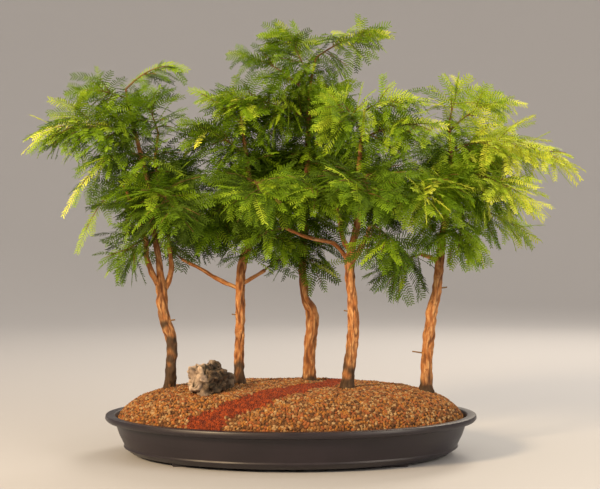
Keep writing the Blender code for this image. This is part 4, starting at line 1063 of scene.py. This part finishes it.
def make_bark(limbs):
    finish = redwood_bark()
    soil_marks = {"trunk_1": 0.105, "trunk_2": 0.040, "trunk_3": 0.014, "trunk_4": 0.046, "trunk_5": 0.022}
    # Painted shade: a whole trunk darkened evenly, most on trees 1 and 3, as if it stood in less light
    trunk_shade = {"trunk_1": 0.28, "trunk_2": 0.04, "trunk_3": 0.20, "trunk_4": 0.0, "trunk_5": 0.10}
    for number, limb in enumerate(limbs.values()):
        is_trunk = limb.name in soil_marks
        sides = TRUNK_SIDES if is_trunk else BOUGH_SIDES
        points, faces, limb_places, reliefs, soil_and_shade_values = [], [], [], [], []
        passed = 0.0
        for index, ((normal, side), row) in enumerate(zip(rings_along(limb.line), limb.rows)):
            if index:
                passed += (limb.line[index] - limb.line[index - 1]).length
            flare = ROOT_FLARE * math.exp(-passed / FLARE_HEIGHT) if is_trunk else 0.0
            for turn in range(sides):
                angle = math.tau * turn / sides
                lobes = 1 + 0.5 * noise.noise(Vector((math.cos(angle) * 1.4, math.sin(angle) * 1.4, number)))
                radius = row.w / 2 * (1 + flare * lobes)
                place = Vector((radius * math.cos(angle), radius * math.sin(angle), passed + number))
                relief = bark_relief(place, row.w)
                knob = KNOB_HEIGHT * noise.noise(place * per(KNOB_SIZE)) * min(1.0, row.w / 0.012)
                way = normal * math.cos(angle) + side * math.sin(angle)
                points.append(row.xyz + way * (radius + relief + knob))
                limb_places.append(place)
                reliefs.append(0.55 + relief / (FURROW_DEPTH * 2))
                mark = soil_marks.get(limb.name, 0.0)
                fade = (mark - passed) / max(mark, 0.001) + 0.7 * noise.noise(place * per(0.010))
                splashed = min(0.92, fade * 1.5) if passed < mark * 1.6 else 0.0
                soil_and_shade_values.append(max(trunk_shade.get(limb.name, 0.0), splashed))
        count = len(limb.rows)
        for ring in range(count - 1):
            for turn in range(sides):
                after = (turn + 1) % sides
                low, high = ring * sides, (ring + 1) * sides
                faces.append((low + turn, low + after, high + after, high + turn))
        faces.append(tuple(reversed(range(sides))))
        faces.append(tuple(range((count - 1) * sides, count * sides)))
        piece = new_object("bark_" + limb.name, points, faces)
        attributes = piece.data.attributes
        attributes.new("limb", "FLOAT_VECTOR", "POINT").data.foreach_set(
            "vector", [value for place in limb_places for value in place])
        attributes.new("relief", "FLOAT", "POINT").data.foreach_set("value", reliefs)
        attributes.new("soiled", "FLOAT", "POINT").data.foreach_set("value", soil_and_shade_values)
        outward(piece)
        piece.data.shade_smooth()
        piece.data.materials.append(finish)
        into_frame(piece, [limb.name])


# Foliage

def heading(azimuth, rise):
    azimuth, rise = math.radians(azimuth), math.radians(rise)
    return Vector((
        math.cos(azimuth) * math.cos(rise), math.sin(azimuth) * math.cos(rise), math.sin(rise)
    ))


class Stem:
    """The line of a mass: it sets out above the way to its tip and bends down under its own weight."""

    def __init__(self, mass, limbs):
        self.mass = mass
        self.root = limbs[mass.limb].at(mass.height)
        way = Vector(mass.tip) - self.root
        self.fall = UP * mass.sag * way.length
        self.run = way + self.fall
        self.reach = self.run.length
        half_width = 0.0 if mass.height is TIP else limbs[mass.limb].width_at(mass.height) / 2
        self.first = (half_width + ROOT_CLEARANCE) / self.reach
        self.fresh = mass.fresh

    def at(self, share):
        return self.root + self.run * share - self.fall * share ** 2

    def along(self, share):
        return (self.at(share + 0.01) - self.at(share - 0.01)).normalized()

    def holds(self, point):
        """Whether a point lies in the space of the mass, which tapers along its stem and hangs below it."""
        for step in range(STEM_POINTS):
            share = step / (STEM_POINTS - 1)
            off = point - self.at(share)
            if off.z > 0:
                off.z /= SHARE_ABOVE
            if off.length < self.mass.spread * outline_at(share) * FURTHEST:
                return in_frame_box(point)
        return False


class Crown:
    """The whole crown of a tree, for the short shoots that belong to no stem."""

    def __init__(self, tree):
        self.fresh = SHOOT_FRESH_AND_LIT[tree]

    def holds(self, point):
        return in_frame_box(point)


def in_frame_box(point):
    low, high = cad_box
    return all(low[axis] - PROUD < point[axis] + POT[axis] < high[axis] + PROUD for axis in range(3))


class Facing:
    """Directions at a place on a stem: along it, level across it, and up from it."""

    def __init__(self, along):
        self.along = along
        self.level = along.cross(UP).normalized()
        self.up = self.level.cross(along)

    def out(self, opening, side, lift):
        opening, lift = math.radians(opening), math.radians(lift)
        aside = self.level * side * math.cos(lift) + self.up * math.sin(lift)
        return (self.along * math.cos(opening) + aside * math.sin(opening)).normalized()


def facing_light(out, place, rng, leans=LEAN):
    """The way a spray faces: upwards, and outwards to the front or back and the near end of the crown."""
    to_front = -1 if place.y < CROWN_MIDDLE else 1
    if rng.random() < INWARD_SHARE:
        to_front = -to_front
    away = Vector((place.x * END_SHARE, to_front * CROWN_DEPTH, 0.0)).normalized()
    lean = math.radians(rng.uniform(*leans))
    face = UP * math.cos(lean) + away * math.sin(lean)
    face += Vector([rng.uniform(-FACE_JITTER, FACE_JITTER) for _ in range(3)])
    return (face - out * face.dot(out)).normalized()


class Shoot:
    """A side twig or spray: it leaves its root in one direction and bends down towards its tip."""

    def __init__(self, root, out, face, length, bend):
        self.root, self.out, self.face, self.length, self.bend = root, out, face, length, bend

    def at(self, share):
        return self.root + self.out * self.length * share - UP * self.bend * self.length * share ** 2

    def along(self, share):
        return (self.at(share + 0.01) - self.at(share - 0.01)).normalized()


class Foliage:
    """The twigs and sprays of one tree, gathered as lines with what each point of them carries."""

    def __init__(self, limbs, limb_skin):
        self.limbs = limbs
        self.limb_skin = limb_skin
        self.twigs = []
        self.sprays = {name: [] for name, _ in GREENS}

    def add_twig(self, shoot, end, widths, points):
        rows = []
        for step in range(points):
            t = step / (points - 1)
            rows.append((shoot.at(end * t), widths[0] + (widths[1] - widths[0]) * t))
        self.twigs.append(rows)

    def add_spray(self, shoot, green):
        """Needles along a shoot."""
        shortest, longest = NEEDLE_LENGTHS
        needle = min(longest, max(shortest, shoot.length * NEEDLE_PER_SPRAY))
        self.add_needles(shoot, shoot.face, 0.0, needle, green, SPRAY_POINTS)

    def add_needles(self, line, face_way, first, needle, green, points):
        """Needles in two ranks from a share of a line to its tip, longest past the middle."""
        rows = []
        for step in range(points):
            t = step / (points - 1)
            share = first + (1 - first) * t
            along = line.along(share)
            face = (face_way - along * face_way.dot(along)).normalized()
            length = needle * math.sin(math.pi * (0.16 + 0.66 * t)) ** 0.8
            sweep = math.radians(NEEDLE_SWEEP[0] + (NEEDLE_SWEEP[1] - NEEDLE_SWEEP[0]) * t)
            rows.append((line.at(share), face, length, sweep))
        self.sprays[GREENS[green][0]].append(rows)

    def grow_mass(self, mass):
        """A stem with pairs of side twigs, which bears needles itself towards its tip."""
        stem = Stem(mass, self.limbs)
        rng = random.Random(mass.name)
        self.add_twig(stem, STEM_END, STEM_WIDTH, STEM_POINTS)
        face = facing_light(stem.along(0.8), stem.at(0.8), rng, STEM_LEAN)
        green = green_for(mass.fresh, stem.at(0.8), 1.0, rng)
        self.add_needles(stem, face, STEM_NEEDLES_FROM, NEEDLE_LENGTHS[1], green, STEM_POINTS)
        pairs = max(3, round(stem.reach * (LAST_TWIG - stem.first) / TWIG_SPACING))
        more = SIDE_LIFT * abs(stem.run.x) / stem.run.xy.length
        lowest = LOWEST_LIFT.get(mass.name, LIFT[0] - more)
        for pair in range(pairs):
            for side in (-1, 1):
                share = stem.first + (LAST_TWIG - stem.first) * (pair + rng.uniform(0.05, 0.95)) / pairs
                opening = OPENING[0] + (OPENING[1] - OPENING[0]) * share
                opening += rng.uniform(-OPENING_JITTER, OPENING_JITTER)
                lift = rng.uniform(lowest, LIFT[1] + more)
                out = Facing(stem.along(share)).out(opening, side, lift)
                wanted = mass.spread * outline_at(share) / math.sin(math.radians(opening))
                length = min(LONGEST_TWIG, max(SHORTEST_SPRAY, wanted)) * rng.uniform(0.62, 1.02)
                start = stem.at(share)
                shoot = Shoot(start, out, facing_light(out, start, rng), length, TWIG_BEND)
                self.grow_side_twig(stem, shoot, share, rng)

    def grow_short_shoots(self, limb):
        """Leafy shoots set spirally up a limb inside the crown."""
        rng = random.Random(limb.name + " shoots")
        crown = Crown(limb.tree)
        low, high = SHOOT_AZIMUTHS
        turn = rng.uniform(0, 360)
        step = round(SHOOT_SPACING / RING_SPACING)
        for index in range(0, len(limb.line), step):
            place = limb.line[index]
            turn += SHOOT_TURN
            if place.z < CROWN_BASES[limb.tree]:
                continue
            near_tip = (index / len(limb.line)) ** 6
            rise = rng.uniform(*SHOOT_RISE) + SHOOT_RISE_AT_TIP * near_tip
            out = heading(low + turn % (high - low), rise)
            length = rng.uniform(*SHOOT_LENGTH) * (1 - SHORTER_AT_TIP * near_tip)
            shoot = Shoot(place, out, facing_light(out, place, rng), length, TWIG_BEND)
            self.grow_side_twig(crown, shoot, 0.3, rng)

    def clothe(self, limb):
        """Single sprays that spring from the limb's skin and hang over it."""
        rng = random.Random(limb.name + " clothing")
        turn = rng.uniform(0, 360)
        for row in limb.rows[::round(CLOTHING_SPACING / RING_SPACING)]:
            turn += SHOOT_TURN
            if row.z < CLOTHED_FROM[limb.tree]:
                continue
            level = heading(turn, 0)
            out = heading(turn, rng.uniform(*CLOTHING_RISE))
            face = (UP + level * CLOTHING_FACE).normalized()
            start = row.xyz + level * row.w * 0.4
            length = rng.uniform(*CLOTHING_LENGTH)
            spray = Shoot(start, out, face, length, rng.uniform(*CLOTHING_DROOP))
            if in_frame_box(spray.at(1.0)):
                fresh = SHOOT_FRESH_AND_LIT[limb.tree]
                self.add_spray(spray, green_for(fresh, spray.at(1.0), rng.uniform(0.3, 0.9), rng))

    def grow_side_twig(self, space, shoot, share, rng):
        """A side twig with sprays in two ranks and one at its tip. A short one is a spray itself."""
        while shoot.length > SHORTEST_SPRAY and not space.holds(shoot.at(1.0)):
            shoot.length -= 0.003
        if shoot.length <= SHORTEST_SPRAY or self.hits_limb(shoot, 0.25):
            return
        green = green_for(space.fresh, shoot.at(1.0), 0.3 + 0.7 * share, rng)
        if shoot.length < SIMPLE_TWIG:
            shoot.bend = rng.uniform(*SPRAY_DROOP)
            self.add_spray(shoot, green)
            return
        self.add_twig(shoot, TWIG_END, TWIG_WIDTH, 5)
        last = min(SPRAY_LENGTH[1], shoot.length * 0.62)
        t = 1 - last / shoot.length
        self.add_spray(Shoot(shoot.at(t), shoot.along((1 + t) / 2), shoot.face, last, 0.08), green)
        count = max(1, round((t + 0.12) * shoot.length / SPRAY_SPACING))
        for index in range(count):
            for side in (-1, 1):
                t_root = 0.10 + (t + 0.06) * (index + rng.uniform(0.1, 0.9)) / count
                self.grow_side_spray(space, shoot, t_root, side, green, rng)

    def grow_side_spray(self, space, shoot, t, side, green, rng):
        along = shoot.along(t)
        across = shoot.face.cross(along).normalized() * side
        opening = math.radians(SPRAY_OPENING[0] + (SPRAY_OPENING[1] - SPRAY_OPENING[0]) * t + rng.uniform(-8, 8))
        roll = math.radians(rng.uniform(-1, 1) * SPRAY_ROLL)
        aside = across * math.cos(roll) + shoot.face * math.sin(roll)
        out = along * math.cos(opening) + aside * math.sin(opening)
        face = (shoot.face - out * shoot.face.dot(out)).normalized()
        length = rng.uniform(*SPRAY_LENGTH) * (1.1 - 0.35 * t)
        spray = Shoot(shoot.at(t), out, face, length, rng.uniform(*SPRAY_DROOP))
        while spray.length > SHORTEST_SPRAY and not space.holds(spray.at(1.0)):
            spray.length -= 0.003
        if spray.length > SHORTEST_SPRAY and not self.hits_limb(spray, 0.1):
            shade = rng.choices((-1, 0, 1), SHADES_DEALT)[0]
            self.add_spray(spray, min(len(GREENS) - 1, max(0, green + shade)))

    def hits_limb(self, shoot, start):
        """Whether a shoot runs into a trunk or bough past a share of its length."""
        for step in range(4):
            low, high = start + (1 - start) * step / 4, start + (1 - start) * (step + 1) / 4
            run = shoot.at(high) - shoot.at(low)
            if self.limb_skin.ray_cast(shoot.at(low), run.normalized(), run.length)[0]:
                return True
        return False


def green_for(fresh, place, exposure, rng):
    """Which green: painted shade inside and low in the crown, painted light at its outside and top, and the real
    yellow-green of young tips.
    """
    height = min(1.0, max(0.0, (place.z - 0.20) / 0.30))
    light = 0.30 * exposure + 0.20 * height + 0.50 * fresh * (0.3 + 0.7 * exposure)
    light += rng.gauss(0.02, 0.11)
    return int(min(0.999, max(0.0, light)) * len(GREENS))


def outline_at(share):
    place = min(0.9999, max(0.0, share)) * (len(OUTLINE) - 1)
    low = int(place)
    return OUTLINE[low] + (OUTLINE[low + 1] - OUTLINE[low]) * (place - low)


def limb_tree(limbs):
    """The skin of every limb as plain four-sided tubes."""
    points, faces = [], []
    for limb in limbs.values():
        rows = list(zip(rings_along(limb.line), limb.rows))[::6]
        base = len(points)
        for (normal, side), row in rows:
            for way in (normal, side, -normal, -side):
                points.append(row.xyz + way * row.w * 0.6)
        for ring in range(len(rows) - 1):
            for turn in range(4):
                low, high = base + 4 * ring, base + 4 * ring + 4
                faces.append((low + turn, low + (turn + 1) % 4, high + (turn + 1) % 4, high + turn))
    return BVHTree.FromPolygons(points, faces)


def line_object(lines, attributes):
    """Rows of points joined by edges. After its place, each row holds a value for each attribute."""
    points = [row[0] for line in lines for row in line]
    edges, start = [], 0
    for line in lines:
        edges += [(start + step, start + step + 1) for step in range(len(line) - 1)]
        start += len(line)
    mesh = bpy.data.meshes.new("guide")
    mesh.from_pydata([tuple(point) for point in points], edges, [])
    for place, (name, kind) in enumerate(attributes, start=1):
        values = [row[place] for line in lines for row in line]
        field = "vector" if kind == "FLOAT_VECTOR" else "value"
        if field == "vector":
            values = [part for value in values for part in value]
        mesh.attributes.new(name, kind, "POINT").data.foreach_set(field, values)
    guide = bpy.data.objects.new("guide", mesh)
    bpy.context.scene.collection.objects.link(guide)
    return guide


def needle_form():
    """One flat needle of unit length and width: blunt, a little drooping, in its own outline."""
    points = [
        (0.0, 0.0, 0.0), (-0.5, 0.22, 0.0), (0.5, 0.22, 0.0), (-0.46, 0.78, -0.03), (0.46, 0.78, -0.03),
        (0.0, 1.0, -0.07),
    ]
    return new_object("needle_form", points, [(0, 2, 1), (1, 2, 4, 3), (3, 4, 5)])


def make_foliage(limbs):
    skin = limb_tree(limbs)
    greens = {name: needle_green(name, colour) for name, colour in GREENS}
    bark = twig_bark()
    sprays, twigs, needle = spray_tree(), twig_tree(), needle_form()
    for number in range(1, len(TREES) + 1):
        foliage = Foliage(limbs, skin)
        masses = [mass for mass in MASSES if mass.name.startswith(f"foliage_{number}")]
        names = [mass.name for mass in masses]
        for mass in masses:
            foliage.grow_mass(mass)
        for limb in limbs.values():
            if limb.tree == str(number):
                foliage.grow_short_shoots(limb)
                foliage.clothe(limb)
        for limb, height, azimuth, length, width in STUBS:
            if limb == f"trunk_{number}":
                whole = length + limbs[limb].width_at(height) / 2
                stub = Shoot(limbs[limb].at(height), heading(azimuth, 8), UP, whole, 0.0)
                foliage.add_twig(stub, 1.0, (width, width * 0.8), 3)
        guide = line_object(foliage.twigs, [("width", "FLOAT")])
        piece = made_by(twigs, guide, f"twigs_{number}", {"Sides": 5, "Bark": bark})
        into_frame(piece, names)
        for name, _ in GREENS:
            if not foliage.sprays[name]:
                continue
            guide = line_object(foliage.sprays[name], [
                ("face", "FLOAT_VECTOR"), ("needle", "FLOAT"), ("sweep", "FLOAT")])
            piece = made_by(sprays, guide, f"needles_{number}_{name}", {
                "Spacing": NEEDLE_SPACING, "Needle width": NEEDLE_WIDTH, "Axis radius": SPRAY_AXIS_RADIUS,
                "Shortest": NEEDLE_LENGTHS[0] * 0.3, "Seed": 7 * number, "Needle": needle,
                "Green": greens[name]})
            into_frame(piece, names)
    bpy.data.objects.remove(needle)


make_camera()
make_studio()
make_tray()
make_mound()
make_gravel()
make_stone()
all_of_them = all_limbs()
make_bark(all_of_them)
make_foliage(all_of_them)
